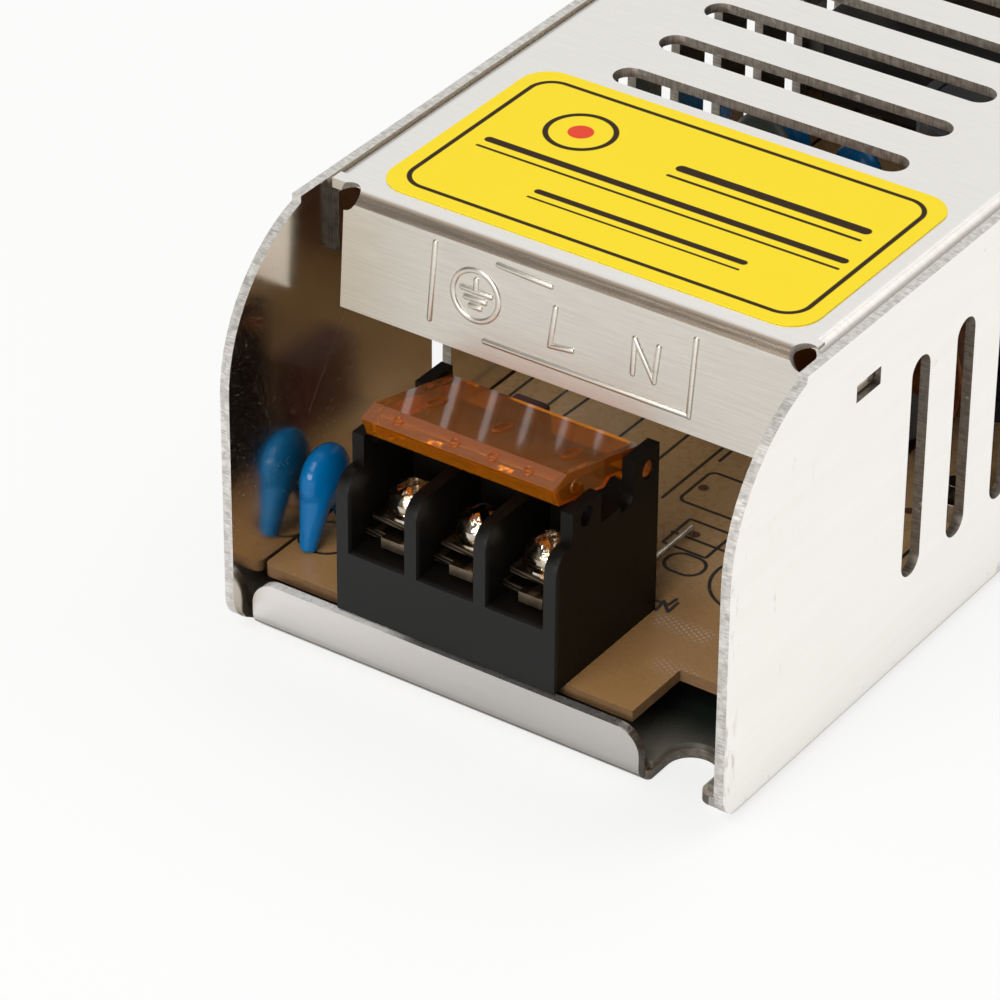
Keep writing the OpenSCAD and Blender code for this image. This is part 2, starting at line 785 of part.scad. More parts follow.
// Body of a terminal block; left front corner at the origin, standing on the board
module block_body(ways) {
    width = ways * pitch + rib;
    difference() {
        union() {
            cube([width, block_depth, bay_floor]);
            translate([0, bay_depth, 0])
                cube([width, block_depth - bay_depth, block_back_height]);
            for (i = [1 : ways - 1])
                translate([i * pitch + rib / 2, 0, 0])
                    along_x(rib)
                        rib_outline();
            for (i = [0, ways])
                translate([i * pitch + rib / 2, 0, 0])
                    along_x(rib)
                        end_outline();
            for (i = [0 : ways - 1])
                translate([rib + i * pitch - eps, pad_back, bay_floor - eps])
                    cube([bay_width + 2 * eps, bay_depth - pad_back + eps, pad_rise + eps]);
        }
        for (i = [0, ways])
            translate([i * pitch + rib / 2, 0, 0])
                rotate([0, 90, 0]) {
                    translate([-pivot_up, pivot_back, 0])
                        cylinder(d = pivot_pin + 2 * running_gap, h = rib + cut, center = true, $fn = 48);
                    translate([-(pivot_up + snap_up), pivot_back - snap_back, 0])
                        cylinder(d = snap_hole, h = rib + cut, center = true, $fn = 48);
                }
        for (i = [0 : ways - 1])
            translate([rib / 2 + (i + 0.5) * pitch, screw_back, pad_top - shank_length + 0.1])
                cylinder(d = shank_diameter + 2 * running_gap, h = pad_top, $fn = 48);
    }
}

// Contact plate of one terminal, middle of its bay at x = 0
module contact() {
    difference() {
        union() {
            translate([-plate_width / 2, plate_back, pad_top])
                cube([plate_width, bay_depth - plate_back, plate_thick]);
            translate([-tongue_side, tongue_back, pad_top])
                cube([tongue_width, screw_back - shank_diameter / 2 - tongue_back, plate_thick]);
            translate([-tongue_side, tongue_back, plate_top - tongue_drop])
                cube([tongue_width, plate_thick, tongue_drop]);
        }
        translate([0, screw_back, pad_top - cut])
            cylinder(d = shank_diameter + 0.6, h = plate_thick + 2 * cut, $fn = 48);
    }
}

// Terminal screw with its captive square clamp, middle of its bay at x = 0
module terminal_screw() {
    head_r = head_diameter / 2;
    ball = (head_r * head_r + head_dome * head_dome) / (2 * head_dome);
    groove = 0.4;
    ring = 0.3;
    translate([-clamp_width / 2, screw_back - clamp_depth / 2, clamp_low])
        difference() {
            cube([clamp_width, clamp_depth, clamp_thick]);
            for (i = [1, 3, 9, 11])
                translate([-cut, i * clamp_depth / 12 + groove / 2, -clamp_thick])
                    cube([clamp_width + 2 * cut, groove, 1.25 * clamp_thick]);
        }
    translate([0, screw_back, clamp_low - shank_length])
        cylinder(d = shank_diameter, h = shank_length + eps, $fn = 48);
    translate([0, screw_back, clamp_top - eps])
        difference() {
            union() {
                cylinder(r = head_r + ring, h = ring, $fn = 48);
                cylinder(r = shank_diameter / 2 + ring, h = 3 * ring, $fn = 48);
                translate([0, 0, 2 * ring])
                    cylinder(r = head_r, h = head_height - 2 * ring + eps, $fn = 48);
                translate([0, 0, head_height])
                    rotate_extrude($fn = 48)
                        intersection() {
                            translate([0, head_dome - ball])
                                circle(r = ball, $fn = 96);
                            square([head_r, head_dome + eps]);
                        }
            }
            for (a = [45, 135])
                rotate([0, 0, a])
                    translate([0, 0, head_height + head_dome - recess_depth])
                        standing_box(recess_length, recess_width, 2 * recess_depth);
        }
}

// Side view of the lid, pivot at the origin, closed
module lid_outline() {
    polygon([[0, lid_top], [-lid_flat, lid_top], [-lid_length, lid_edge], [-lid_foot, -lid_skirt],
             [-lid_step, -lid_skirt], [-lid_step + lid_skirt - lid_waist, -lid_waist], [0, -lid_waist]]);
}

// Lid over a block of some ways, placed like its block
module block_lid(ways, angle) {
    width = ways * pitch + rib;
    inner = width - 2 * rib - 2 * lid_gap;
    translate([width / 2, pivot_back, pivot_up])
        rotate([-angle, 0, 0]) {
            along_x(inner)
                difference() {
                    union() {
                        lid_outline();
                        translate([-cut, lid_top - lid_wall])
                            square([1.6 * cut, lid_wall]);
                    }
                    polygon([[cut, lid_top - lid_wall], [-lid_flat + 0.3, lid_top - lid_wall],
                             [-lid_length + 1.35, lid_edge - 0.28], [-lid_foot + 1.05, -lid_skirt - 0.1],
                             [cut, -lid_skirt - 0.1]]);
                }
            for (s = [-1, 1])
                translate([s * (inner - lid_wall) / 2, 0, 0])
                    along_x(lid_wall)
                        union() {
                            lid_outline();
                            circle(r = lid_top, $fn = 48);
                        }
            for (s = [-1, 1])
                translate([s * (inner / 2 + (lid_gap + rib) / 2 - 0.2), 0, 0])
                    rotate([0, 90, 0])
                        cylinder(d = pivot_pin, h = lid_gap + rib, center = true, $fn = 48);
            for (s = [-1, 1])
                translate([s * inner / 2, -snap_back, snap_up])
                    rotate([0, 90, 0])
                        cylinder(d = snap_bump, h = lid_gap, center = true, $fn = 48);
        }
}

// Places of the two blocks
module at_mains() {
    translate([-half_w + mains_block_side, -half_l + block_back, board_top])
        children();
}

module at_output() {
    rotate([0, 0, 180])
        translate([-half_w + output_block_side, -half_l + block_back, board_top])
            children();
}

module at_mains_bay(i) {
    at_mains()
        translate([rib / 2 + (i - 0.5) * pitch, 0, 0])
            children();
}

module at_output_bay(i) {
    at_output()
        translate([rib / 2 + (i - 0.5) * pitch, 0, 0])
            children();
}

module mains_block() {
    color(dark)
        at_mains()
            block_body(mains_ways);
}

module mains_contact(i) {
    color(nickel)
        at_mains_bay(i)
            contact();
}

module mains_screw(i) {
    color(nickel)
        at_mains_bay(i)
            terminal_screw();
}

module mains_lid() {
    color(amber)
        at_mains()
            block_lid(mains_ways, mains_lid_angle);
}

module output_block() {
    color(dark)
        at_output()
            block_body(output_ways);
}

module output_contact(i) {
    color(nickel)
        at_output_bay(i)
            contact();
}

module output_screw(i) {
    color(nickel)
        at_output_bay(i)
            terminal_screw();
}

module output_lid() {
    color(amber)
        at_output()
            block_lid(output_ways, output_lid_angle);
}

// Place on the board's top face
module on_board(x, y) {
    translate([x, y, board_top])
        children();
}

// Box standing on the board, middle of its foot at the origin
module standing_box(x, y, z) {
    translate([-x / 2, -y / 2, 0])
        cube([x, y, z]);
}

// Leaded disc with a rounded rim, middle of its foot at the origin, cut off level with the board
module leaded_disc(diameter, thick, rise, turn, lean) {
    r = diameter / 2;
    lead = 0.7;
    intersection() {
        rotate([0, 0, turn])
            rotate([0, lean, 0]) {
                translate([0, 0, rise])
                    rotate([0, 90, 0])
                        rotate_extrude($fn = 64)
                            union() {
                                translate([0, -thick / 2])
                                    square([r - thick / 2, thick]);
                                translate([r - thick / 2, 0])
                                    intersection() {
                                        circle(d = thick, $fn = 48);
                                        translate([0, -thick])
                                            square([thick, 2 * thick]);
                                    }
                            }
                for (s = [-1, 1])
                    translate([0, s * r / 2, -1]) {
                        cylinder(d = lead, h = rise + 1 - r / 2, $fn = 24);
                        translate([0, 0, 1.8])
                            cylinder(d1 = lead + 0.5, d2 = lead + 1.7, h = rise - 0.8 - r / 2, $fn = 24);
                    }
            }
        translate([-20, -20, 0])
            cube(40);
    }
}

// Ring of square section, lying flat and centred
module ring(outer, inner, height) {
    rotate_extrude($fn = 96)
        translate([inner, -height / 2])
            square([outer - inner, height]);
}

// Part of a coil wound round such a ring
module ring_coil(outer, inner, height, wire, angle) {
    rotate_extrude(angle = angle, $fn = 96)
        difference() {
            translate([inner - wire, -height / 2 - wire])
                square([outer - inner + 2 * wire, height + 2 * wire]);
            translate([inner, -height / 2])
                square([outer - inner, height]);
        }
}

// Round can capacitor with a rolled groove and a recessed top
module can(d, h) {
    rim = 1.2;
    difference() {
        cylinder(d = d, h = h, $fn = 64);
        translate([0, 0, h - 0.4])
            cylinder(d = d - 2 * rim, h = 1, $fn = 64);
        translate([0, 0, 3])
            rotate_extrude($fn = 64)
                translate([d / 2, 0])
                    circle(r = 0.5, $fn = 24);
    }
}

// Flat power package: body, tab and three legs, back face at x = 0, facing -X
module power_package(width, thick, height, tab) {
    foot = 3.2;
    plate = 1.3;
    translate([-thick, -width / 2, foot])
        cube([thick, width, height]);
    translate([-plate, -width / 2, foot + height - eps])
        cube([plate, width, tab]);
    for (y = [-2.5, 0, 2.5])
        translate([-thick / 2, y, 0])
            standing_box(0.6, 0.8, foot + eps);
}

// Small chip on two rows of legs
module small_chip(length, pins) {
    translate([0, 0, 0.6])
        standing_box(6.2, length, 3.3);
    for (sx = [-1, 1])
        for (i = [0 : pins - 1])
            translate([sx * 3.3, (i - (pins - 1) / 2) * 2.54, 0])
                standing_box(0.6, 0.6, 2);
}

module fuse() {
    color([0.42, 0.1, 0.1])
        on_board(-15 * kx, -78.6 * ky)
            standing_box(fuse_width, fuse_length, fuse_height);
}

module jumper_wire() {
    rise = jumper_diameter / 2 + 0.45;
    color(nickel)
        on_board(3.7 * kx, -79.6 * ky) {
            translate([0, 0, rise])
                rotate([90, 0, 0])
                    cylinder(d = jumper_diameter, h = jumper_length, center = true, $fn = 24);
            for (s = [-1, 1])
                translate([0, s * jumper_length / 2, 0])
                    cylinder(d = jumper_diameter, h = rise, $fn = 24);
        }
}

module film_capacitor() {
    color([0.82, 0.7, 0.3])
        on_board(-13 * kx, -43 * ky)
            standing_box(film_cap_width, film_cap_length, film_cap_height);
}

// Place of the line choke, standing on its lower coil
module at_line_choke() {
    on_board(9 * kx, line_choke_y)
        translate([0, 0, line_coil_r])
            children();
}

module line_choke_core() {
    color(dark)
        at_line_choke()
            rotate([90, 0, 0])
                ring(line_choke_diameter / 2, line_choke_hole / 2, line_choke_thick);
}

module line_choke_coil(turn) {
    color([0.72, 0.36, 0.16])
        at_line_choke()
            rotate([90, turn, 0])
                ring_coil(line_choke_diameter / 2, line_choke_hole / 2, line_choke_thick,
                          line_choke_wire, 140);
}

module bridge_rectifier() {
    color(dark)
        on_board(bridge_x, bulk_1_y) {
            translate([0, 0, 2])
                standing_box(bridge_thick, bridge_length, bridge_height);
            for (i = [-1.5 : 1 : 1.5])
                translate([0, i * bridge_length / 4, 0])
                    standing_box(0.6, 1.0, 2 + eps);
        }
}

module bulk_capacitor(y) {
    color([0.1, 0.13, 0.2])
        on_board(bulk_x, y)
            can(bulk_diameter, bulk_height);
}

module disc_capacitor(x, y, rise, turn, lean) {
    color(blue)
        on_board(x, y)
            leaded_disc(disc_diameter, disc_thick, rise, turn, lean);
}

// Blue disc beside the mains block
module mains_disc() {
    disc_capacitor(-half_w + disc_side, -half_l + disc_back, mains_disc_rise, disc_turn, disc_lean);
}

module inrush_thermistor() {
    color([0.25, 0.3, 0.27])
        on_board(-17.8 * kx, -29 * ky)
            leaded_disc(thermistor_diameter, thermistor_thick, thermistor_rise, 70, 0);
}

module transformer_core() {
    color(dark)
        on_board(core_x, core_y)
            translate([0, 0, core_lift])
                difference() {
                    standing_box(core_width, core_length, core_height);
                    for (s = [-1, 1])
                        translate([s * (core_leg + core_window) / 2, 0, -1])
                            standing_box(core_window, core_length - 2 * yoke, core_height + 2);
                }
}

module transformer_bobbin() {
    reach = core_length - 2 * yoke;
    color([0.25, 0.2, 0.16])
        on_board(core_x, core_y)
            difference() {
                union() {
                    translate([0, 0, core_lift - bobbin_wall])
                        standing_box(core_leg + 2 * bobbin_wall, reach, core_height + 2 * bobbin_wall);
                    for (s = [-1, 1])
                        translate([0, s * (reach - bobbin_plate) / 2, 0])
                            standing_box(coil_width, bobbin_plate, 2 * core_lift + core_height - 1.5);
                }
                translate([0, 0, core_lift])
                    standing_box(core_leg, core_length, core_height);
            }
}

module transformer_winding() {
    reach = core_length - 2 * yoke - 2 * bobbin_plate;
    color([0.85, 0.68, 0.25])
        on_board(core_x, core_y)
            difference() {
                translate([0, 0, core_lift + (core_height - coil_height) / 2])
                    standing_box(coil_width - 1, reach, coil_height);
                translate([0, 0, core_lift - bobbin_wall])
                    standing_box(core_leg + 2 * bobbin_wall, core_length, core_height + 2 * bobbin_wall);
            }
}

module switch_transistor() {
    color(dark)
        on_board(sink_x - sink_thick / 2, switch_y - 4)
            power_package(10, transistor_thick, 9, 6);
}

module switch_heatsink() {
    color(metal)
        on_board(sink_x, switch_y)
            standing_box(sink_thick, sink_length, sink_height);
}

module output_rectifier() {
    color(dark)
        on_board(-sink_x + sink_thick / 2, rectifier_y)
            rotate([0, 0, 180])
                power_package(15.6, rectifier_thick, 16, 4);
}

module rectifier_heatsink() {
    color(metal)
        on_board(-sink_x, rectifier_y)
            standing_box(sink_thick, sink_length, sink_height);
}

// Place of the output choke, lying on its coil
module at_output_choke() {
    on_board(output_choke_x, rectifier_y + 2)
        translate([0, 0, output_choke_thick / 2 + output_choke_wire])
            children();
}

module output_choke_core() {
    color([0.75, 0.72, 0.3])
        at_output_choke()
            ring(output_choke_diameter / 2, output_choke_hole / 2, output_choke_thick);
}

module output_choke_coil() {
    color([0.72, 0.36, 0.16])
        at_output_choke()
            rotate([0, 0, 15])
                ring_coil(output_choke_diameter / 2, output_choke_hole / 2, output_choke_thick,
                          output_choke_wire, 330);
}

module output_capacitor(x, y) {
    color([0.12, 0.3, 0.22])
        on_board(x, y)
            can(output_can_diameter, output_can_height);
}

module control_chip() {
    color(dark)
        on_board(9 * kx, 14 * ky)
            small_chip(9.4, 4);
}

module optocoupler() {
    color([0.92, 0.92, 0.9])
        on_board(9 * kx, 27 * ky)
            small_chip(4.6, 2);
}

// Place of the output trimmer, beside the output block
module at_trimmer() {
    translate([half_w - trimmer_side, half_l - trimmer_back, board_top])
        children();
}

module trimmer_body() {
    color([0.15, 0.3, 0.62])
        at_trimmer()
            difference() {
                standing_box(trimmer_width, trimmer_length, trimmer_height);
                translate([0, 0, trimmer_floor])
                    cylinder(d = rotor_pin + 2 * running_gap, h = trimmer_height, $fn = 48);
            }
}

module trimmer_rotor() {
    color([0.92, 0.92, 0.9])
        at_trimmer() {
            translate([0, 0, trimmer_floor + rotor_lift])
                cylinder(d = rotor_pin, h = trimmer_height - trimmer_floor + 0.1, $fn = 48);
            translate([0, 0, trimmer_height + rotor_lift])
                difference() {
                    cylinder(d = rotor_diameter, h = rotor_height, $fn = 48);
                    translate([0, 0, 0.56 * rotor_height])
                        standing_box(1.2 * rotor_diameter, 0.16 * rotor_diameter, rotor_height);
                }
        }
}

module power_led() {
    color([0.3, 0.8, 0.35])
        translate([half_w - led_side, half_l - led_back, board_top])
            rotate_extrude($fn = 48)
                union() {
                    square([led_radius + 0.4, 1]);
                    square([led_radius, led_height - led_radius]);
                    translate([0, led_height - led_radius])
                        intersection() {
                            circle(r = led_radius, $fn = 48);
                            square(2 * led_radius);
                        }
                }
}

base_shell();
top_cover();
face_label();
insulation_film();
circuit_board();
board_pillars();
board_screws();
mains_block();
mains_contact(1);  // mains_contact_1
mains_contact(2);  // mains_contact_2
mains_contact(3);  // mains_contact_3
mains_screw(1);  // mains_screw_1
mains_screw(2);  // mains_screw_2
mains_screw(3);  // mains_screw_3
mains_lid();
output_block();
output_contact(1);  // output_contact_1
output_contact(2);  // output_contact_2
output_contact(3);  // output_contact_3
output_contact(4);  // output_contact_4
output_screw(1);  // output_screw_1
output_screw(2);  // output_screw_2
output_screw(3);  // output_screw_3
output_screw(4);  // output_screw_4
output_lid();
fuse();
jumper_wire();
film_capacitor();
line_choke_core();
line_choke_coil(200);  // line_choke_coil_a
line_choke_coil(20);  // line_choke_coil_b
bridge_rectifier();
bulk_capacitor(bulk_1_y);  // bulk_capacitor_1
bulk_capacitor(bulk_2_y);  // bulk_capacitor_2
mains_disc();  // disc_capacitor_1
disc_capacitor(-11.4 * kx, -21 * ky, disc_rise, 70, 0);  // disc_capacitor_2
disc_capacitor(-21 * kx, -19 * ky, disc_rise, 60, 0);  // disc_capacitor_3
inrush_thermistor();
transformer_core();
transformer_bobbin();
transformer_winding();
switch_transistor();
switch_heatsink();
output_rectifier();
rectifier_heatsink();
output_choke_core();
output_choke_coil();
output_capacitor(output_can_x, 46 * ky);  // output_capacitor_1
output_capacitor(output_can_x, 58 * ky);  // output_capacitor_2
output_capacitor(2 * kx, 66 * ky);  // output_capacitor_3
control_chip();
optocoupler();
trimmer_body();
trimmer_rotor();
power_led();
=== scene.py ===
import json
import math
import bpy
from mathutils import Matrix, Vector

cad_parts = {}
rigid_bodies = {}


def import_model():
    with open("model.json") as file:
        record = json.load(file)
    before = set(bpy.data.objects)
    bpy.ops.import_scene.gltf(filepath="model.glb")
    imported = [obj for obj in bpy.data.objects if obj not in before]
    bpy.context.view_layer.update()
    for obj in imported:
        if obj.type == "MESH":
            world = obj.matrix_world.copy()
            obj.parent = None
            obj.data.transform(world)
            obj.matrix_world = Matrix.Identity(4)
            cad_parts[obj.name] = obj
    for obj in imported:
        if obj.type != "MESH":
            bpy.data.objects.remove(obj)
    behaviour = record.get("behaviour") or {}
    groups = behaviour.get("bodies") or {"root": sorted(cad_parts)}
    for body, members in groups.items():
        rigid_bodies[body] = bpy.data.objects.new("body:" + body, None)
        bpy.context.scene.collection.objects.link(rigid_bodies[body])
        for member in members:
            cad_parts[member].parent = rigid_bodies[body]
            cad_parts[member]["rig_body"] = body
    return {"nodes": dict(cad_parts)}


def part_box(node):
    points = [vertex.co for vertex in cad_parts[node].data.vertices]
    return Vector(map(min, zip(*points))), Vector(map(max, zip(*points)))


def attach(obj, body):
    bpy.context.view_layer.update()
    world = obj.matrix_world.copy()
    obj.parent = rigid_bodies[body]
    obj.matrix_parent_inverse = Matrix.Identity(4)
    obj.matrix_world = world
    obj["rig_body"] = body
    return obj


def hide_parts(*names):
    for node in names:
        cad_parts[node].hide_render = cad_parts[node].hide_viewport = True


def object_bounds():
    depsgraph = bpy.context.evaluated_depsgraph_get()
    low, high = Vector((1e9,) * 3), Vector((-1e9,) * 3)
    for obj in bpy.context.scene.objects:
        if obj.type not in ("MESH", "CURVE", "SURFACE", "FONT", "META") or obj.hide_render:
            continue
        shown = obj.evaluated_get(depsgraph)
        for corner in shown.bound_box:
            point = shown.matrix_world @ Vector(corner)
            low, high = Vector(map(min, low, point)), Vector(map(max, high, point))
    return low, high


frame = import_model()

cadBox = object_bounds()
mm = 0.001
scene = bpy.context.scene
print("frame loaded:", len(frame["nodes"]), "nodes")


# shader maths as Python sums: one socket of a node tree
class Wire:
    def __init__(self, tree, socket=None):
        self.tree = tree
        self.socket = socket

    def node(self, kind, settings=None, sockets=None, out=0):
        made = self.tree.nodes.new(kind)
        for key, value in (settings or {}).items():
            setattr(made, key, value)
        for key, value in (sockets or {}).items():
            if isinstance(value, Wire):
                self.tree.links.new(value.socket, made.inputs[key])
            else:
                made.inputs[key].default_value = value
        return Wire(self.tree, made.outputs[out])

    def sum(self, operation, first, second=0.0):
        return self.node("ShaderNodeMath", {"operation": operation}, {0: first, 1: second})

    def __add__(self, other):
        return self.sum("ADD", self, other)

    def __radd__(self, other):
        return self.sum("ADD", other, self)

    def __sub__(self, other):
        return self.sum("SUBTRACT", self, other)

    def __rsub__(self, other):
        return self.sum("SUBTRACT", other, self)

    def __mul__(self, other):
        return self.sum("MULTIPLY", self, other)

    def __rmul__(self, other):
        return self.sum("MULTIPLY", other, self)

    def most(self, other):
        return self.sum("MAXIMUM", self, other)

    def least(self, other):
        return self.sum("MINIMUM", self, other)

    def size(self):
        return self.sum("ABSOLUTE", self)

    def root(self):
        return self.sum("SQRT", self)


# 0 below low, 1 above high, smooth between
def rise(value, low, high):
    return value.node("ShaderNodeMapRange", {"interpolation_type": "SMOOTHSTEP"},
                      {"Value": value, "From Min": low, "From Max": high})


def blendColour(factor, first, second):
    return factor.node("ShaderNodeMix", {"data_type": "RGBA"}, {0: factor, 6: first, 7: second}, out=2)


even = (1, 1, 1)


def grain(place, scale, stretch=even, detail=4.0, rough=0.5):
    pulled = place.node("ShaderNodeMapping", {}, {"Vector": place, "Scale": stretch})
    return pulled.node("ShaderNodeTexNoise", {}, {"Vector": pulled, "Scale": scale, "Detail": detail,
                                                  "Roughness": rough})


# patches where a noise is above an edge
def spots(place, numbers, edge):
    return rise(grain(place, *numbers), *edge)


def axes(place):
    split = place.node("ShaderNodeSeparateXYZ", {}, {"Vector": place})
    node = split.socket.node
    return [Wire(place.tree, socket) * (1 / mm) for socket in node.outputs]


def boxDistance(x, y, halfX, halfY, corner):
    outX = x.size() - (halfX - corner)
    outY = y.size() - (halfY - corner)
    farX = outX.most(0.0)
    farY = outY.most(0.0)
    return (farX * farX + farY * farY).root() + outX.most(outY).least(0.0) - corner


def ringDistance(x, y, radius):
    return (x * x + y * y).root() - radius


# 1 on a line of some width along a distance of 0
def lineMask(distance, width, soft=0.06):
    return 1 - rise(distance.size(), width / 2 - soft, width / 2 + soft)


def fillMask(distance, soft=0.06):
    return 1 - rise(distance, -soft, soft)


def strokeMask(x, y, start, end, width):
    length = math.dist(start, end)
    dx, dy = (end[0] - start[0]) / length, (end[1] - start[1]) / length
    along = (x - start[0]) * dx + (y - start[1]) * dy
    across = (y - start[1]) * dx - (x - start[0]) * dy
    return fillMask(boxDistance(along - length / 2, across, length / 2 + width / 2, width / 2, width / 2))


def anyOf(masks):
    total = masks[0]
    for mask in masks[1:]:
        total = total.most(mask)
    return total


def startMaterial(name):
    material = bpy.data.materials.new(name)
    material.use_nodes = True
    tree = material.node_tree
    shader = tree.nodes["Principled BSDF"]
    place = Wire(tree).node("ShaderNodeTexCoord", out="Object")
    return material, shader, place


def feed(shader, name, value):
    if isinstance(value, Wire):
        value.tree.links.new(value.socket, shader.inputs[name])
    else:
        shader.inputs[name].default_value = value


def relief(height, strength, depth):
    return height.node("ShaderNodeBump", {}, {"Strength": strength, "Distance": depth, "Height": height})


def shade(value, low, high):
    return value * (high - low) + low


# working with pieces

def clearSelection():
    if bpy.context.object and bpy.context.object.mode != "OBJECT":
        bpy.ops.object.mode_set(mode="OBJECT")
    bpy.ops.object.select_all(action="DESELECT")


def makeActive(piece):
    clearSelection()
    piece.select_set(True)
    bpy.context.view_layer.objects.active = piece


def editAll(piece):
    makeActive(piece)
    bpy.ops.object.mode_set(mode="EDIT")
    bpy.ops.mesh.select_all(action="SELECT")


def leaveEdit():
    bpy.ops.object.mode_set(mode="OBJECT")


def applyModifier(piece, kind, **settings):
    made = piece.modifiers.new(kind.lower(), kind)
    for key, value in settings.items():
        setattr(made, key, value)
    makeActive(piece)
    bpy.ops.object.modifier_apply(modifier=made.name)


def smooth(piece, angle=32):
    makeActive(piece)
    bpy.ops.object.shade_smooth_by_angle(angle=math.radians(angle))


def settle(piece):
    makeActive(piece)
    bpy.ops.object.transform_apply(location=True, rotation=True, scale=True)


weldGap = 2e-6


# a copy of a CAD node with its sharp edges broken
def softCopy(node, name, edge, steps=2, angle=38, flat=0.4):
    source = frame["nodes"][node]
    piece = bpy.data.objects.new(name, source.data.copy())
    scene.collection.objects.link(piece)
    piece.data.materials.clear()
    makeActive(piece)
    bpy.ops.mesh.customdata_custom_splitnormals_clear()
    editAll(piece)
    bpy.ops.mesh.remove_doubles(threshold=weldGap)
    bpy.ops.mesh.dissolve_limited(angle_limit=math.radians(flat))
    leaveEdit()
    if edge:
        applyModifier(piece, "BEVEL", width=edge, segments=steps, limit_method="ANGLE",
                      angle_limit=math.radians(angle), use_clamp_overlap=True)
    smooth(piece)
    applyModifier(piece, "WEIGHTED_NORMAL", weight=100, keep_sharp=True)
    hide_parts(node)
    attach(piece, source["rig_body"])
    return piece


def paint(piece, materials, rule=None):
    for material in materials:
        piece.data.materials.append(material)
    if rule:
        for face in piece.data.polygons:
            face.material_index = rule(face.center / mm, face.normal)


# camera: fitted to the case's edges in the photograph
cameraLook = {
    "azimuth": 34.312, "elevation": 33.136, "roll": 0.463, "focalPixels": 5235.5, "imagePixels": 1000,
    "anchor": (27.5, -107, 0), "anchorPixel": (721.7, 835.1), "depth": 464.35, "sensor": 36, "clip": (0.01, 20),
}


def addCamera(look):
    turn, tilt, roll = (math.radians(look[key]) for key in ("azimuth", "elevation", "roll"))
    back = Vector((math.sin(turn) * math.cos(tilt), -math.cos(turn) * math.cos(tilt), math.sin(tilt)))
    side = Vector((math.cos(turn), math.sin(turn), 0))
    up = back.cross(side)
    right = side * math.cos(roll) + up * math.sin(roll)
    up = up * math.cos(roll) - side * math.sin(roll)
    middle = look["imagePixels"] / 2
    overX = (look["anchorPixel"][0] - middle) / look["focalPixels"] * look["depth"]
    overY = (look["anchorPixel"][1] - middle) / look["focalPixels"] * look["depth"]
    place = Vector(look["anchor"]) - right * overX + up * overY + back * look["depth"]
    lens = bpy.data.cameras.new("photoCamera")
    lens.sensor_width = look["sensor"]
    lens.lens = look["focalPixels"] / look["imagePixels"] * lens.sensor_width
    lens.clip_start, lens.clip_end = look["clip"]
    camera = bpy.data.objects.new("photoCamera", lens)
    scene.collection.objects.link(camera)
    turned = Matrix((right, up, back)).transposed().to_4x4()
    camera.matrix_world = Matrix.Translation(place * mm) @ turned
    scene.camera = camera


addCamera(cameraLook)
print("camera placed")

# floor, air and lamps
studioLook = {
    "floorSize": 6, "floorDrop": 0.02 * mm, "floorGlow": 0.72, "paper": (0.9, 0.9, 0.9, 1), "airLight": 0.57,
    "white": (1, 1, 1, 1), "cardDim": 0.64, "cardBright": 1.0, "cardEdge": (12, 34), "nearDim": 0.44,
    "nearBright": 0.86, "nearEdge": (-36, 2), "nearFront": (-140, -120), "contact": 0.58,
    "contactFront": (-110.4, -105.4), "contactSide": (25, 28), "roomDark": 0.12, "roomBright": 0.88,
    "roomUp": (-0.1, 0.75, 0.65), "roomEdge": (0.3, 0.92),
}

# each lamp's place, aim, size, power and tone
lampLook = {
    "keyLamp": ((0.05, -0.68, 0.7), (0, -0.06, 0.02), (0.45, 0.45), 2.0, (1, 0.975, 0.94)),
    "fillLamp": ((0.06, -0.98, 0.27), (0, -0.08, 0.02), (0.6, 0.26), 3.3, (1, 0.985, 0.96)),
    "topLamp": ((0.3, 0.45, 0.85), (0, 0.0, 0.04), (0.7, 0.5), 2.4, (1, 0.99, 0.97)),
    "windowLamp": ((-0.2, -0.6, 0.85), (0, -0.09, 0.02), (0.07, 0.07), 0.55, (1, 1, 1)),
}


def rays(start, *names):
    path = start.node("ShaderNodeLightPath").socket.node
    return anyOf([Wire(start.tree, path.outputs[f"Is {name} Ray"]) for name in names])


# white to the camera; mirrored, it is a dim card at the left, a white one at the right, with a painted contact shadow
# at the lip's foot
def addFloor(look):
    clearSelection()
    bpy.ops.mesh.primitive_plane_add(size=look["floorSize"], location=(0, 0, -look["floorDrop"]))
    floor = bpy.context.object
    floor.name = "studioFloor"
    material = bpy.data.materials.new("paleFloor")
    material.use_nodes = True
    tree = material.node_tree
    tree.nodes.remove(tree.nodes["Principled BSDF"])
    start = Wire(tree)
    x, y, z = axes(start.node("ShaderNodeTexCoord", out="Object"))
    right = rise(x, *look["cardEdge"])
    card = shade(right, look["cardDim"], look["cardBright"])
    near = shade(rise(x, *look["nearEdge"]), look["nearBright"], look["nearDim"]).most(right)
    front = rise(y, *look["nearFront"])
    card = near * front + card * (1 - front)
    # painted contact shadow: the mirrored floor darkens just in front of the lip's foot
    contact = rise(y, *look["contactFront"]) * (1 - rise(x.size(), *look["contactSide"]))
    card = card * (1 - contact * look["contact"])
    camera = rays(start, "Camera")
    level = camera + (1 - camera) * card
    seen = rays(start, "Camera", "Glossy", "Transmission") * look["floorGlow"]
    paper = start.node("ShaderNodeBsdfDiffuse", {}, {"Color": look["paper"]})
    glow = start.node("ShaderNodeEmission", {}, {"Color": look["white"], "Strength": level})
    both = start.node("ShaderNodeMixShader", {}, {0: seen, 1: paper, 2: glow})
    tree.links.new(both.socket, tree.nodes["Material Output"].inputs["Surface"])
    floor.data.materials.append(material)


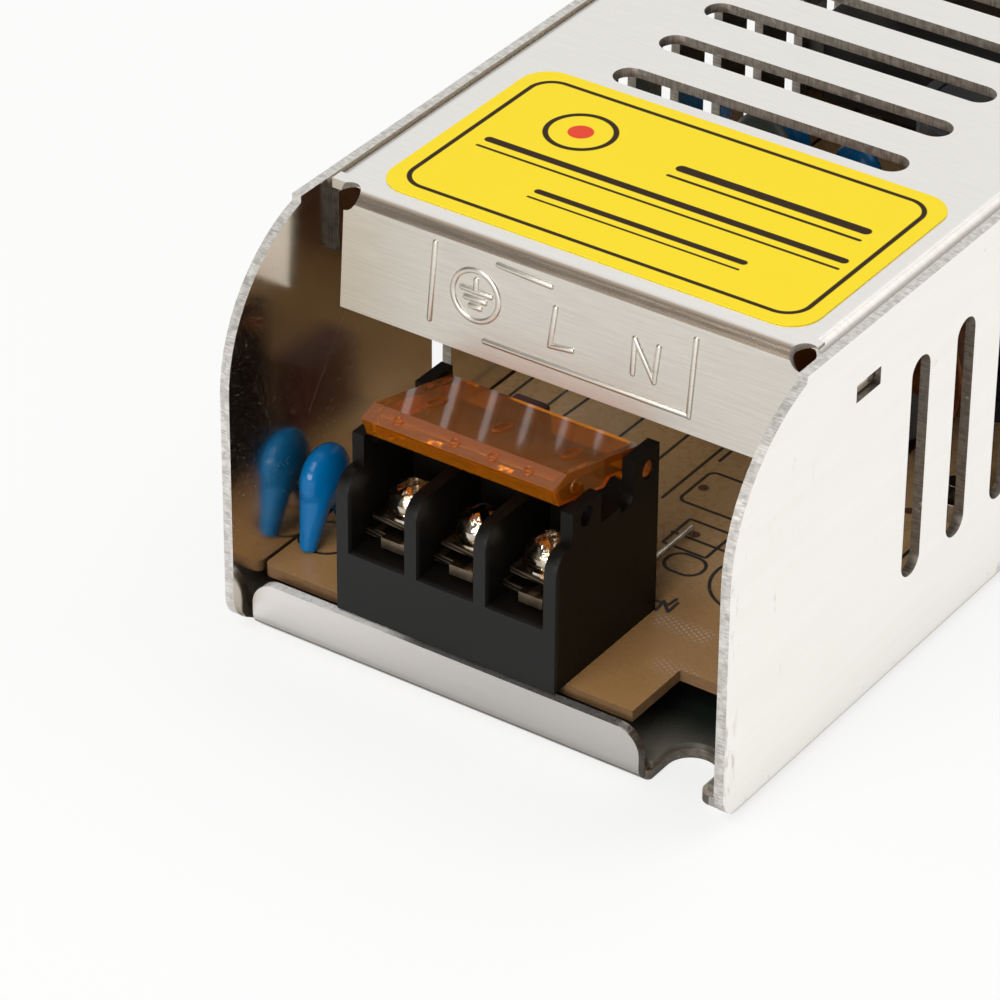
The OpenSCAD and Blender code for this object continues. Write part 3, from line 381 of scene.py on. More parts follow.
# mirrored, the room is bright above and behind and dark low down in front
def addAir(look):
    world = bpy.data.worlds.new("studioAir")
    scene.world = world
    world.use_nodes = True
    tree = world.node_tree
    start = Wire(tree)
    aim = start.node("ShaderNodeTexCoord", out="Generated")
    split = start.node("ShaderNodeSeparateXYZ", {}, {"Vector": aim}).socket.node
    x, y, z = (Wire(tree, socket) for socket in split.outputs)
    upX, upY, upZ = look["roomUp"]
    room = shade(rise(x * upX + y * upY + z * upZ, *look["roomEdge"]), look["roomDark"], look["roomBright"])
    camera = rays(start, "Camera")
    mirrored = rays(start, "Glossy", "Transmission")
    level = camera + (1 - camera) * (mirrored * room + (1 - mirrored) * look["airLight"])
    background = tree.nodes["Background"]
    background.inputs["Color"].default_value = look["white"]
    tree.links.new(level.socket, background.inputs["Strength"])


def addLamp(name, place, aim, size, power, tone):
    lamp = bpy.data.lights.new(name, "AREA")
    lamp.shape = "RECTANGLE"
    lamp.size, lamp.size_y = size
    lamp.energy = power
    lamp.color = tone
    holder = bpy.data.objects.new(name, lamp)
    scene.collection.objects.link(holder)
    holder.location = place
    holder.rotation_euler = (Vector(aim) - Vector(place)).to_track_quat("-Z", "Y").to_euler()


addFloor(studioLook)
addAir(studioLook)
for lampName, numbers in lampLook.items():
    addLamp(lampName, *numbers)
scene.view_settings.view_transform = "Standard"
print("floor, air and lamps placed")

# folded sheet: wall, top, flap and fold faces, mirror-like inner face, sheared edges
# painted light: the faces are one metal given different tones for how each is lit: the wall lightest, the top and lip
# a little darker, the flap warmer as a painted reflection, the fold darker grey and the bend brown as painted shade
# and reflection
sheetLook = {
    "wall": (0.965, 0.94, 0.892, 1), "top": (0.9, 0.88, 0.845, 1), "flap": (0.88, 0.835, 0.75, 1),
    "fold": (0.64, 0.62, 0.59, 1), "bend": (0.72, 0.575, 0.445, 1), "lip": (0.92, 0.885, 0.845, 1),
    "edgeBreak": 0.1 * mm, "depth": 0.02 * mm,
}

# wear on outer faces: dull marks, knocks along the walls' feet, scrapes near their ends; and painted shade darkening
# every face toward the floor
wearAndShadeLook = {
    "scuff": (0.6, 0.57, 0.53, 1), "lineDetail": (3.0, 0.6), "lineEdge": (0.3, 0.7),
    "cloud": (55, even, 3.0), "marks": (130, (0.5, 1.2, 2.2), 6.0, 0.65), "markEdge": (0.69, 0.76),
    "markDark": 0.55, "knocks": (700, (1, 1, 0.5), 4.0, 0.7), "knockEdge": (0.62, 0.7), "knockTop": (1.0, 5.0),
    "knockDark": 0.75, "patches": (120, (1, 1, 0.6), 2.0), "patchEdge": (0.48, 0.58), "patchEnd": (90, 103),
    "scrapes": (420, (1, 1, 0.22), 5.0, 0.7), "scrapeEdge": (0.58, 0.64), "outerSide": (27, 27.3),
    "footTop": (0.0, 2.2), "footShade": 0.2, "lineRough": 0.14, "markRough": 0.12, "markRise": 0.6,
    "relief": 0.12,
}


def brushedSheet(name, colour, brush, rough, streak, dull):
    look = wearAndShadeLook
    material, shader, place = startMaterial(name)
    x, y, z = axes(place)
    lines = grain(place, 1.0, brush, *look["lineDetail"])
    cloud = grain(place, *look["cloud"])
    marks = spots(place, look["marks"], look["markEdge"])
    outer = rise(x.size(), *look["outerSide"])
    # painted shade: darker toward the floor, for the shadow where the sheet meets it
    foot = 1 - rise(z, *look["footTop"])
    knocks = spots(place, look["knocks"], look["knockEdge"]) * (1 - rise(z, *look["knockTop"])) * outer
    patches = spots(place, look["patches"], look["patchEdge"]) * rise(y.size(), *look["patchEnd"]) * outer
    scrapes = spots(place, look["scrapes"], look["scrapeEdge"]) * patches
    dark = marks * look["markDark"] + rise(lines, *look["lineEdge"]) * streak + foot * look["footShade"]
    dark = dark + (knocks + scrapes) * look["knockDark"]
    feed(shader, "Base Color", blendColour(dark, sheetLook[colour], look["scuff"]))
    feed(shader, "Metallic", 1.0)
    lineRough = shade(lines, rough, rough + look["lineRough"])
    feed(shader, "Roughness", lineRough + shade(cloud, -dull, dull) + marks * look["markRough"])
    feed(shader, "Normal", relief(lines + marks * look["markRise"], look["relief"], sheetLook["depth"]))
    return material


innerLook = {
    "bright": (0.84, 0.78, 0.69, 1), "dull": (0.6, 0.53, 0.44, 1), "lines": (1.0, (900, 40, 900), 2.0),
    "cloud": (90, even, 4.0), "cloudShare": 0.45, "dust": (6400, even, 0.0), "dustEdge": (0.71, 0.78),
    "drift": (60, even, 2.0), "driftEdge": (0.3, 0.55), "dustPale": 0.24,
    "scratch": ((-88.6, 27.1), (-94.9, 18.6)), "scratchWidth": 0.09, "scratchSide": (-26.4, -26.2),
    "scratchPale": 0.2, "rough": (0.09, 0.2), "lineRough": 0.06, "paleRough": 0.4, "relief": 0.05,
}


# mirror-like, with dust and one long scratch on the left wall
def innerSheet(look):
    material, shader, place = startMaterial("innerSheet")
    x, y, z = axes(place)
    lines = grain(place, *look["lines"])
    cloud = grain(place, *look["cloud"])
    dust = spots(place, look["dust"], look["dustEdge"]) * spots(place, look["drift"], look["driftEdge"])
    leftWall = 1 - rise(x, *look["scratchSide"])
    scratch = strokeMask(y, z, *look["scratch"], look["scratchWidth"]) * leftWall * look["scratchPale"]
    pale = (dust * look["dustPale"]).most(scratch)
    feed(shader, "Base Color", blendColour(shade(cloud, 0.0, look["cloudShare"]), look["bright"], look["dull"]))
    feed(shader, "Metallic", 1 - pale)
    rough = shade(cloud, *look["rough"]) + shade(lines, 0.0, look["lineRough"])
    feed(shader, "Roughness", rough + pale * look["paleRough"])
    feed(shader, "Normal", relief(lines, look["relief"], sheetLook["depth"]))
    return material


edgeLook = {
    "lineDetail": (2.0, 0.6), "tear": (1500, even, 3.0), "burr": (900, even, 3.0, 0.6),
    "burrEdge": (0.66, 0.72), "burrTone": (0.93, 0.91, 0.88, 1), "lineShare": 0.55, "tearShare": 0.45,
    "cutEdge": (0.3, 0.7), "glintBare": 0.1, "tearRough": 0.2, "lineRise": 0.4, "tearRise": 0.6, "relief": 0.25,
}


# sheared edges show fine lines through the sheet's thickness
def shearedEdge(name, stretch, dark, light, rough, bare=0.95, burrs=0.6, glintSpan=None):
    look = edgeLook
    material, shader, place = startMaterial(name)
    lines = grain(place, 1.0, stretch, *look["lineDetail"])
    tear = grain(place, *look["tear"])
    burr = spots(place, look["burr"], look["burrEdge"]) * burrs
    mix = lines * look["lineShare"] + tear * look["tearShare"]
    cut = blendColour(rise(mix, *look["cutEdge"]), dark, light)
    feed(shader, "Base Color", blendColour(burr, cut, look["burrTone"]))
    # painted highlight: across the given span in x the edge turns from pale and matt to metallic, so the matt end
    # reads bright like a glint
    if glintSpan:
        bare = shade(rise(axes(place)[0], *glintSpan), look["glintBare"], bare)
    feed(shader, "Metallic", bare)
    feed(shader, "Roughness", shade(tear, rough, rough + look["tearRough"]))
    height = lines * look["lineRise"] + tear * look["tearRise"]
    feed(shader, "Normal", relief(height, look["relief"], sheetLook["depth"]))
    return material


# the fold's darker grey and the bend's brown below are painted shade and reflection
wallFinish = brushedSheet("wallSheet", "wall", brush=(60, 60, 900), rough=0.27, streak=0.03, dull=0.05)
topFinish = brushedSheet("topSheet", "top", brush=(200, 5600, 5600), rough=0.26, streak=0.14, dull=0.04)
flapFinish = brushedSheet("flapSheet", "flap", brush=(220, 5600, 5600), rough=0.3, streak=0.3, dull=0.03)
shadedFold = brushedSheet("shadedFoldSheet", "fold", brush=(200, 3600, 200), rough=0.36, streak=0.85, dull=0.03)
shadedBend = brushedSheet("shadedBendSheet", "bend", brush=(220, 5600, 5600), rough=0.2, streak=0.3, dull=0.03)
lipFinish = brushedSheet("lipSheet", "lip", brush=(60, 60, 900), rough=0.27, streak=0.06, dull=0.05)
innerFinish = innerSheet(innerLook)
slotEdge = shearedEdge("slotEdge", stretch=(400, 5200, 5200), dark=(0.2, 0.175, 0.145, 1),
                       light=(0.4, 0.36, 0.31, 1), rough=0.4)
rimEdge = shearedEdge("rimEdge", stretch=(900, 9000, 9000), dark=(0.4, 0.38, 0.35, 1), light=(0.82, 0.8, 0.76, 1),
                      rough=0.3, bare=0.55, burrs=0.15)
# the lip's top edge: pale, with a painted highlight at its left end
lipTop = shearedEdge("lipTop", stretch=(900, 9000, 9000), dark=(0.7, 0.68, 0.64, 1), light=(0.95, 0.93, 0.9, 1),
                     rough=0.18, bare=0.9, burrs=0.2, glintSpan=(-12, -7))
# painted shade: a near-black sheared edge for the flange ends, which sit in shade
shadedEdge = shearedEdge("shadedEdge", stretch=(5200, 5200, 400), dark=(0.04, 0.035, 0.03, 1),
                       light=(0.13, 0.115, 0.1, 1), rough=0.4)
ventEdge = shearedEdge("ventEdge", stretch=(5200, 5200, 400), dark=(0.3, 0.27, 0.23, 1), light=(0.6, 0.56, 0.5, 1),
                       rough=0.35)


# where the base's faces change finish: mm from its sides, its ends and the floor, and slopes
baseLook = {
    "skin": 0.06, "sheet": 0.92, "wallFoot": 2, "ventEnd": 18, "ventFloor": 10, "ventTop": 37.5,
    "floorTop": 0.95, "notchSide": 1.6, "notchEnd": 10, "lipEnd": 3.3, "lipSide": 1.2, "lipTop": 4.5,
    "slant": 0.6, "cross": 0.5,
}


def dressBase(look):
    piece = softCopy("base_shell", "baseShell", sheetLook["edgeBreak"])
    wide, deep = cadBox[1].x / mm, cadBox[1].y / mm
    wall, inner, slot, rim, lip, upper = range(6)

    def pick(at, normal):
        side, along = abs(at.x), abs(at.y)
        if side > wide - look["skin"] or at.z < look["skin"]:
            return wall
        if side > wide - look["sheet"] and abs(normal.x) < look["slant"] and at.z > look["wallFoot"]:
            inVent = along < deep - look["ventEnd"] and look["ventFloor"] < at.z < look["ventTop"]
            return slot if inVent else rim
        byNotch = side < wide - look["notchSide"] and along > deep - look["notchEnd"]
        if at.z < look["floorTop"] and abs(normal.z) < look["cross"] and byNotch:
            return slot
        if along > deep - look["lipEnd"] and side < wide - look["lipSide"]:
            if abs(normal.x) > look["cross"]:
                return slot
            if normal.z > look["slant"] and at.z > look["lipTop"]:
                return upper
            return lip if normal.y * at.y > 0 else inner
        return inner

    paint(piece, [wallFinish, innerFinish, slotEdge, rimEdge, lipFinish, lipTop], pick)


# the same for the cover: mm from its sides, its ends and its top, and slopes
coverLook = {
    "skin": 0.04, "flapEnd": 15.4, "flangeEnd": 17, "flangeSide": 20, "flangeTop": 3, "ventTop": 0.96,
    "ventSide": 2.2, "fold": 1.7, "lug": 0.05, "facing": 0.45, "bend": (0.25, 0.94), "level": 0.9,
    "square": 0.95, "cross": 0.5, "diagonal": 0.7071,
}


def dressCover(look):
    piece = softCopy("top_cover", "topCover", sheetLook["edgeBreak"])
    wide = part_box("top_cover")[1].x / mm
    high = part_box("top_cover")[1].z / mm
    deep = cadBox[1].y / mm
    top, inner, vent, fold, flap, rim, dark, bend = range(8)
    bendLow, bendHigh = look["bend"]

    def pick(at, normal):
        side, along = abs(at.x), abs(at.y)
        if at.z > high - look["skin"]:
            return top
        if along > deep - look["flapEnd"]:
            outward = (normal.z + normal.y * (1 if at.y > 0 else -1)) * look["diagonal"]
            if outward > look["facing"]:
                return bend if bendLow < normal.z < bendHigh else flap
            return inner if outward < -look["facing"] and normal.z > -look["level"] else rim
        if along > deep - look["flangeEnd"] and side > look["flangeSide"] and abs(normal.z) < look["level"]:
            # the flange ends facing along the case get the near-black edge, painted shade
            if abs(normal.y) > look["square"]:
                return dark
            return rim if at.z > high - look["flangeTop"] else inner
        if abs(normal.z) < look["cross"] and high - look["ventTop"] < at.z and side < wide - look["ventSide"]:
            return vent
        if side > wide - look["fold"] and at.z > high - look["fold"]:
            return fold
        return vent if side > wide + look["lug"] or abs(normal.y) > look["level"] else inner

    paint(piece, [topFinish, innerFinish, ventEdge, shadedFold, flapFinish, rimEdge, shadedEdge, shadedBend], pick)


dressBase(baseLook)
dressCover(coverLook)
print("sheet metal dressed")

# stamped marks on the end flap: bars, earth sign in a ring, two letters, all as raised beads
flapLook = {
    "top": (0, -93.096, 40.905), "lean": 4, "bead": 0.6, "rise": 0.2,
    "strokes": [
        ((-13.3, 0.5), (-13.6, 8.3)), ((14.65, 0.9), (14.4, 8.65)), ((-6.4, 0.5), (-0.75, 0.75)),
        ((-7.5, 8.6), (14.2, 8.6)), ((-0.1, 2.75), (-0.5, 6.65)), ((-0.5, 6.65), (1.85, 6.35)),
        ((8.36, 2.95), (8.32, 6.4)), ((8.36, 2.95), (10.6, 6.5)), ((10.6, 6.5), (10.88, 2.95)),
        ((-8.7, 2.8), (-8.7, 3.8)), ((-10.2, 3.9), (-7.1, 3.95)), ((-9.75, 4.75), (-7.7, 4.75)),
        ((-9.2, 5.5), (-8.2, 5.5)),
    ],
    "ring": ((-8.7, 4.35), 2.5), "corner": 0.42, "steps": 3, "ringSteps": (64, 12), "smoothing": 40,
}


def flapBead(start, end, look):
    length, width = math.dist(start, end), look["bead"]
    clearSelection()
    bpy.ops.mesh.primitive_cube_add(size=1)
    bead = bpy.context.object
    bpy.ops.object.mode_set(mode="EDIT")
    bpy.ops.transform.resize(value=((length + width) * mm, width * mm, 2 * look["rise"] * mm))
    bpy.ops.mesh.bevel(offset=width * look["corner"] * mm, segments=look["steps"], affect="EDGES")
    leaveEdit()
    middle = (Vector(start) + Vector(end)) / 2
    bead.rotation_euler.z = math.atan2(end[1] - start[1], end[0] - start[0])
    bead.location = (middle.x * mm, middle.y * mm, 0)
    settle(bead)
    return bead


def addFlapMarks(look):
    beads = [flapBead(start, end, look) for start, end in look["strokes"]]
    clearSelection()
    (x, down), radius = look["ring"]
    around, across = look["ringSteps"]
    bpy.ops.mesh.primitive_torus_add(major_radius=radius * mm, minor_radius=look["bead"] / 2 * mm,
                                     major_segments=around, minor_segments=across,
                                     location=(x * mm, down * mm, 0))
    ring = bpy.context.object
    bpy.ops.object.mode_set(mode="EDIT")
    bpy.ops.transform.resize(value=(1, 1, look["rise"] / (look["bead"] / 2)))
    leaveEdit()
    settle(ring)
    clearSelection()
    for bead in beads + [ring]:
        bead.select_set(True)
    bpy.context.view_layer.objects.active = ring
    bpy.ops.object.join()
    ring.name = "flapMarks"
    lean = math.radians(look["lean"])
    sideways = Vector((1, 0, 0))
    downward = Vector((0, -math.sin(lean), -math.cos(lean)))
    outward = Vector((0, -math.cos(lean), math.sin(lean)))
    turned = Matrix((sideways, downward, outward)).transposed().to_4x4()
    ring.data.transform(Matrix.Translation(Vector(look["top"]) * mm) @ turned)
    editAll(ring)
    bpy.ops.mesh.normals_make_consistent(inside=False)
    leaveEdit()
    smooth(ring, look["smoothing"])
    paint(ring, [flapFinish])
    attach(ring, "case")


addFlapMarks(flapLook)
print("flap marks stamped")

# yellow label: a border, ruled lines and a round badge
labelLook = {
    "yellow": (0.93, 0.715, 0.022, 1), "ink": (0.03, 0.014, 0.005, 1), "spot": (0.75, 0.06, 0.025, 1),
    "inset": 1.75, "line": 0.5, "corner": 2.4,
    "rules": [
        (8.6, 4.6, 10.4, 1.15), (8.6, 2.9, 10.4, 0.4), (0.4, -1.0, 19.6, 0.95), (0.4, -2.5, 19.6, 0.35),
        (1.4, -6.4, 11.4, 0.8), (1.4, -7.7, 11.4, 0.3),
    ],
    "badge": (-12.6, 5.0, 3.3), "badgeLine": 0.55, "badgeDot": 1.25, "washed": (0.88, 0.64, 0.015, 1),
    "washShare": 0.25, "fibre": (700, even, 3.0), "wash": (60, even, 3.0), "inkEdge": (0.08, 0.2),
    "rough": (0.34, 0.5), "inkRough": 0.12, "inkRise": 0.8, "relief": (0.1, 0.02 * mm), "gloss": 0.1,
    "edgeBreak": 0.04 * mm,
}


def dressLabel(look):
    low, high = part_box("face_label")
    middle = (low + high) / 2 / mm
    half = (high - low) / 2 / mm
    material, shader, place = startMaterial("labelFilm")
    x, y, z = axes(place)
    u, v = x - middle.x, y - middle.y
    border = boxDistance(u, v, half.x - look["inset"], half.y - look["inset"], look["corner"])
    bars = [fillMask(boxDistance(u - bx, v - by, bw, bh / 2, bh / 2)) for bx, by, bw, bh in look["rules"]]
    badgeX, badgeY, badgeR = look["badge"]
    badge = ringDistance(u - badgeX, v - badgeY, badgeR)
    fibre = grain(place, *look["fibre"])
    wash = grain(place, *look["wash"])
    ink = anyOf([lineMask(border, look["line"]), lineMask(badge, look["badgeLine"])] + bars)
    ink = ink * rise(fibre, *look["inkEdge"])
    spot = fillMask(badge + (badgeR - look["badgeDot"]))
    yellow = blendColour(shade(wash, 0.0, look["washShare"]), look["yellow"], look["washed"])
    printed = blendColour(ink, yellow, look["ink"])
    feed(shader, "Base Color", blendColour(spot, printed, look["spot"]))
    feed(shader, "Roughness", shade(fibre, *look["rough"]) + ink * look["inkRough"])
    feed(shader, "Normal", relief(fibre + ink * look["inkRise"], *look["relief"]))
    shader.inputs["Specular IOR Level"].default_value = look["gloss"]
    piece = softCopy("face_label", "faceLabel", look["edgeBreak"])
    paint(piece, [material])


dressLabel(labelLook)
print("label printed")

# circuit board: paper laminate with black print, flux near the block, painted light making the shaded part under the
# cover paler, and layers in its cut edge
boardLook = {
    "light": (0.45, 0.25, 0.098, 1), "dark": (0.35, 0.187, 0.071, 1), "ink": (0.018, 0.016, 0.015, 1),
    "chalk": (0.72, 0.68, 0.6, 1), "hole": (0.15, 0.066, 0.036, 1), "farLight": (0.72, 0.47, 0.235, 1),
    "line": 0.36,
    "strokes": [
        ((-2, -71.6), (-2, -61)), ((5.1, -86.7), (5.3, -85.3)), ((5.1, -86.7), (8.4, -86.5)),
        ((8.4, -86.5), (8.5, -85.3)), ((-1, -63), (-1, -61)), ((2, -76), (12, -76)), ((12, -76), (12, -70)),
        ((-6, -75), (-6, -58)), ((15, -70), (15, -56)), ((-20.3, -80), (-20.2, -58)),
        ((-24.3, -68), (-24.3, -56)), ((-17.9, -66), (-17.5, -57)), ((-11.4, -72), (-11.2, -57)),
        ((7.91, -87.9), (7.71, -86.23)), ((7.71, -86.23), (9, -87.53)), ((9, -87.53), (8.95, -85.76)),
    ],
    "boxes": [
        (4.2, -68, 4.8, 3, 0.8), (4.6, -75.6, 2.4, 2.4, 0.2), (6, -80, 2, 1.6, 1.5), (19, -66, 3, 6, 0.4),
        (-15, -78.6, 2.8, 4.9, 0.3),
    ],
    "rings": [(14, -79, 5), (14, -79, 1.2), (-24.0, -95.6, 2.7)],
    "holes": [(0.3, -67.9), (4, -75.2), (9, -67.9), (2.3, -83.7), (18.5, -60)], "holeSize": 0.55,
    "holeDepth": 3, "fibre": (1100, even, 4.0, 0.6), "cloud": (70, even, 3.0), "mottle": (0.35, 0.5),
    "weave": (0.3, 8.5), "crust": (620, even, 3.0), "crustShare": 0.8, "crustEdge": (0.55, 0.9),
    "fluxCorner": 0.8, "fluxShare": 0.45,
    "flux": [(11.6, -89, 3.0, 1.0, 0.7, 1.0), (14.6, -95, 2.4, 0.9, 0.9, 0.7)], "farLightEdge": (-86, -76),
    "farLightShare": 0.85, "inkEdge": (0.2, 0.35), "rough": (0.2, 0.36), "inkRough": 0.1, "fibreRise": 0.3,
    "relief": (0.1, 0.03 * mm), "edgeBreak": 0.08 * mm, "upright": 0.5,
    "layers": (1.0, (900, 900, 6000), 3.0, 0.6), "edgeDark": (0.13, 0.07, 0.03, 1),
    "edgeLight": (0.28, 0.155, 0.066, 1), "edgeRough": (0.5, 0.75), "edgeRelief": (0.4, 0.04 * mm),
}


def dressBoard(look):
    material, shader, place = startMaterial("boardPaper")
    x, y, z = axes(place)
    marks = [strokeMask(x, y, start, end, look["line"]) for start, end in look["strokes"]]
    marks += [lineMask(boxDistance(x - bx, y - by, hx, hy, corner), look["line"])
              for bx, by, hx, hy, corner in look["boxes"]]
    marks += [lineMask(ringDistance(x - rx, y - ry, radius), look["line"]) for rx, ry, radius in look["rings"]]
    holes = anyOf([fillMask(ringDistance(x - hx, y - hy, look["holeSize"])) for hx, hy in look["holes"]])
    ink = anyOf(marks)
    fibre = grain(place, *look["fibre"])
    cloud = grain(place, *look["cloud"])
    skew, pitch = look["weave"]
    weave = x.sum("SINE", (x + y * skew) * pitch) * x.sum("SINE", (y - x * skew) * pitch)
    crust = rise(weave + grain(place, *look["crust"]) * look["crustShare"], *look["crustEdge"])
    nearBlock = anyOf([fillMask(boxDistance(x - fx, y - fy, hx, hy, look["fluxCorner"]), soft) * share
                       for fx, fy, hx, hy, soft, share in look["flux"]])
    fibreShare, cloudShare = look["mottle"]
    laminate = blendColour(fibre * fibreShare + cloud * cloudShare, look["light"], look["dark"])
    # painted light: the part of the board deeper under the cover, in shade, is made paler to look lit
    farLightMask = rise(y.size() * -1, *look["farLightEdge"]) * look["farLightShare"]
    laminate = blendColour(farLightMask, laminate, look["farLight"])
    printed = blendColour(ink * rise(fibre, *look["inkEdge"]), laminate, look["ink"])
    chalked = blendColour(crust * nearBlock * look["fluxShare"], printed, look["chalk"])
    feed(shader, "Base Color", blendColour(holes, chalked, look["hole"]))
    feed(shader, "Roughness", shade(fibre, *look["rough"]) + ink * look["inkRough"])
    height = fibre * look["fibreRise"] + ink - holes * look["holeDepth"]
    feed(shader, "Normal", relief(height, *look["relief"]))
    piece = softCopy("circuit_board", "circuitBoard", look["edgeBreak"])
    cutEdge, shader, place = startMaterial("boardEdge")
    layers = grain(place, *look["layers"])
    feed(shader, "Base Color", blendColour(layers, look["edgeDark"], look["edgeLight"]))
    feed(shader, "Roughness", shade(layers, *look["edgeRough"]))
    feed(shader, "Normal", relief(layers, *look["edgeRelief"]))
    paint(piece, [material, cutEdge], lambda at, normal: 1 if abs(normal.z) < look["upright"] else 0)


dressBoard(boardLook)
print("circuit board printed")


# plain finishes, each with its own grain
plasticLook = {
    "fineDetail": 4.0, "cloud": (110, even, 4.0, 0.6), "rub": (260, (1, 2.4, 0.6), 5.0, 0.65),
    "rubEdge": (0.62, 0.74), "cloudShare": 0.6, "rubShare": 0.25, "recess": (0.0065, 0.0055, 0.0045, 1),
    "smoother": 0.06, "rougher": 0.1, "rubRough": 0.06, "cloudRise": 0.4, "relief": 0.25, "coatRough": 0.06,
}


# the distances from the middle between which painted shade in the recesses behind the front turns into the block's own
# colour at the front
def plasticFinish(name, light, dark, rough, bumps, depth=0.02, coat=0.0, gloss=0.5, recessShade=None):
    look = plasticLook
    material, shader, place = startMaterial(name)
    fine = grain(place, bumps, detail=look["fineDetail"])
    cloud = grain(place, *look["cloud"])
    rub = spots(place, look["rub"], look["rubEdge"])
    colour = blendColour(cloud * look["cloudShare"] + rub * look["rubShare"], dark, light)
    # painted shade: darker in the bays and sides behind the block's front
    if recessShade:
        x, y, z = axes(place)
        colour = blendColour(rise(y.size(), *recessShade), look["recess"], colour)
    feed(shader, "Base Color", colour)
    feed(shader, "Roughness", shade(fine, rough - look["smoother"], rough + look["rougher"]) + rub * look["rubRough"])
    feed(shader, "Normal", relief(fine + cloud * look["cloudRise"], look["relief"], depth * mm))
    shader.inputs["Coat Weight"].default_value = coat
    shader.inputs["Coat Roughness"].default_value = look["coatRough"]
    shader.inputs["Specular IOR Level"].default_value = gloss
    return material


metalLook = {
    "lineScale": 3.0, "lineDetail": (4.0, 0.6), "lineEdge": (0.3, 0.7), "fine": (1400, even, 3.0),
    "smoother": 0.08, "rougher": 0.1, "lineRise": 0.6, "fineRise": 0.4, "relief": (0.2, 0.02 * mm),
}


def metalFinish(name, light, dark, rough, stretch=(300, 300, 300)):
    look = metalLook
    material, shader, place = startMaterial(name)
    lines = grain(place, look["lineScale"], stretch, *look["lineDetail"])
    fine = grain(place, *look["fine"])
    feed(shader, "Base Color", blendColour(rise(lines, *look["lineEdge"]), dark, light))
    feed(shader, "Metallic", 1.0)
    feed(shader, "Roughness", shade(fine, rough - look["smoother"], rough + look["rougher"]))
    feed(shader, "Normal", relief(lines * look["lineRise"] + fine * look["fineRise"], *look["relief"]))
    return material


blackPlastic = plasticFinish("blackPlastic", light=(0.022, 0.0215, 0.0215, 1), dark=(0.015, 0.0148, 0.0146, 1),
                             rough=0.34, bumps=1300, gloss=0.1)
blockFront = -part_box("mains_block")[0].y / mm
recessShadeEdges = (blockFront - 0.8, blockFront - 0.2)
# the block's bays and sides take painted shade, its front keeps its own colour
blockPlastic = plasticFinish("blockPlastic", light=(0.023, 0.0225, 0.0225, 1), dark=(0.016, 0.0158, 0.0156, 1),
                             rough=0.34, bumps=1300, gloss=0.1, recessShade=recessShadeEdges)
nickelFinish = metalFinish("nickelPlate", light=(0.72, 0.66, 0.57, 1), dark=(0.5, 0.44, 0.36, 1), rough=0.18)
maroonFinish = plasticFinish("maroonCase", light=(0.11, 0.018, 0.02, 1), dark=(0.07, 0.012, 0.014, 1), rough=0.36,
                             bumps=900)
ferriteFinish = plasticFinish("ferrite", light=(0.05, 0.05, 0.052, 1), dark=(0.028, 0.028, 0.03, 1), rough=0.5,
                              bumps=1500, depth=0.05)
copperFinish = metalFinish("copperWire", light=(0.72, 0.3, 0.12, 1), dark=(0.5, 0.18, 0.06, 1), rough=0.28,
                           stretch=(200, 200, 200))
darkSleeve = plasticFinish("darkSleeve", light=(0.025, 0.03, 0.05, 1), dark=(0.016, 0.02, 0.034, 1), rough=0.3,
                           bumps=500, depth=0.01, coat=0.3)
greenSleeve = plasticFinish("greenSleeve", light=(0.03, 0.1, 0.07, 1), dark=(0.02, 0.07, 0.05, 1), rough=0.3,
                            bumps=500, depth=0.01, coat=0.3)
greyCoat = plasticFinish("greyCoat", light=(0.1, 0.125, 0.11, 1), dark=(0.06, 0.08, 0.07, 1), rough=0.4, bumps=700,
                         depth=0.03)
blueCoat = plasticFinish("blueCoat", light=(0.0005, 0.165, 0.44, 1), dark=(0.0005, 0.13, 0.36, 1), rough=0.22,
                         bumps=420, depth=0.01, coat=0.4, gloss=0.2)
boxYellow = plasticFinish("yellowBox", light=(0.62, 0.43, 0.09, 1), dark=(0.52, 0.35, 0.07, 1), rough=0.35,
                          bumps=700, depth=0.02)
tapeFinish = plasticFinish("windingTape", light=(0.72, 0.5, 0.1, 1), dark=(0.6, 0.4, 0.07, 1), rough=0.3, bumps=600,
                           depth=0.02, coat=0.2)
corePaint = plasticFinish("corePaint", light=(0.5, 0.46, 0.1, 1), dark=(0.4, 0.36, 0.08, 1), rough=0.42, bumps=600,
                          depth=0.02)
bobbinFinish = plasticFinish("bobbinBrown", light=(0.06, 0.042, 0.03, 1), dark=(0.04, 0.028, 0.02, 1), rough=0.4,
                             bumps=900)
whitePlastic = plasticFinish("whitePlastic", light=(0.8, 0.79, 0.76, 1), dark=(0.72, 0.71, 0.68, 1), rough=0.36,
                             bumps=900)
bluePlastic = plasticFinish("bluePlastic", light=(0.02, 0.08, 0.35, 1), dark=(0.015, 0.06, 0.27, 1), rough=0.36,
                            bumps=900)
sinkFinish = metalFinish("heatsinkSheet", light=(0.8, 0.8, 0.79, 1), dark=(0.66, 0.66, 0.65, 1), rough=0.34,
                         stretch=(900, 20, 900))
# contact tongues: the plating darkened and warmed as painted shade and reflection of the dark bay around it
shadedTongue = metalFinish("contactPlate", light=(0.44, 0.345, 0.245, 1), dark=(0.28, 0.21, 0.145, 1), rough=0.32)
enamelFinish = metalFinish("enamelWire", light=(0.2, 0.08, 0.035, 1), dark=(0.11, 0.045, 0.02, 1), rough=0.3,
                           stretch=(200, 200, 200))


# screw heads: smooth domes with a crumpled recess
screwLook = {
    "stain": (1100, even, 3.0), "stainEdge": (0.4, 0.65), "crumple": (1300, even, 2.0),
    "recess": (1.3, 0.6), "bright": (0.74, 0.69, 0.6, 1), "brown": (0.55, 0.4, 0.24, 1), "rough": (0.1, 0.26),
    "stainRise": 0.05, "relief": (0.9, 0.3 * mm),
}


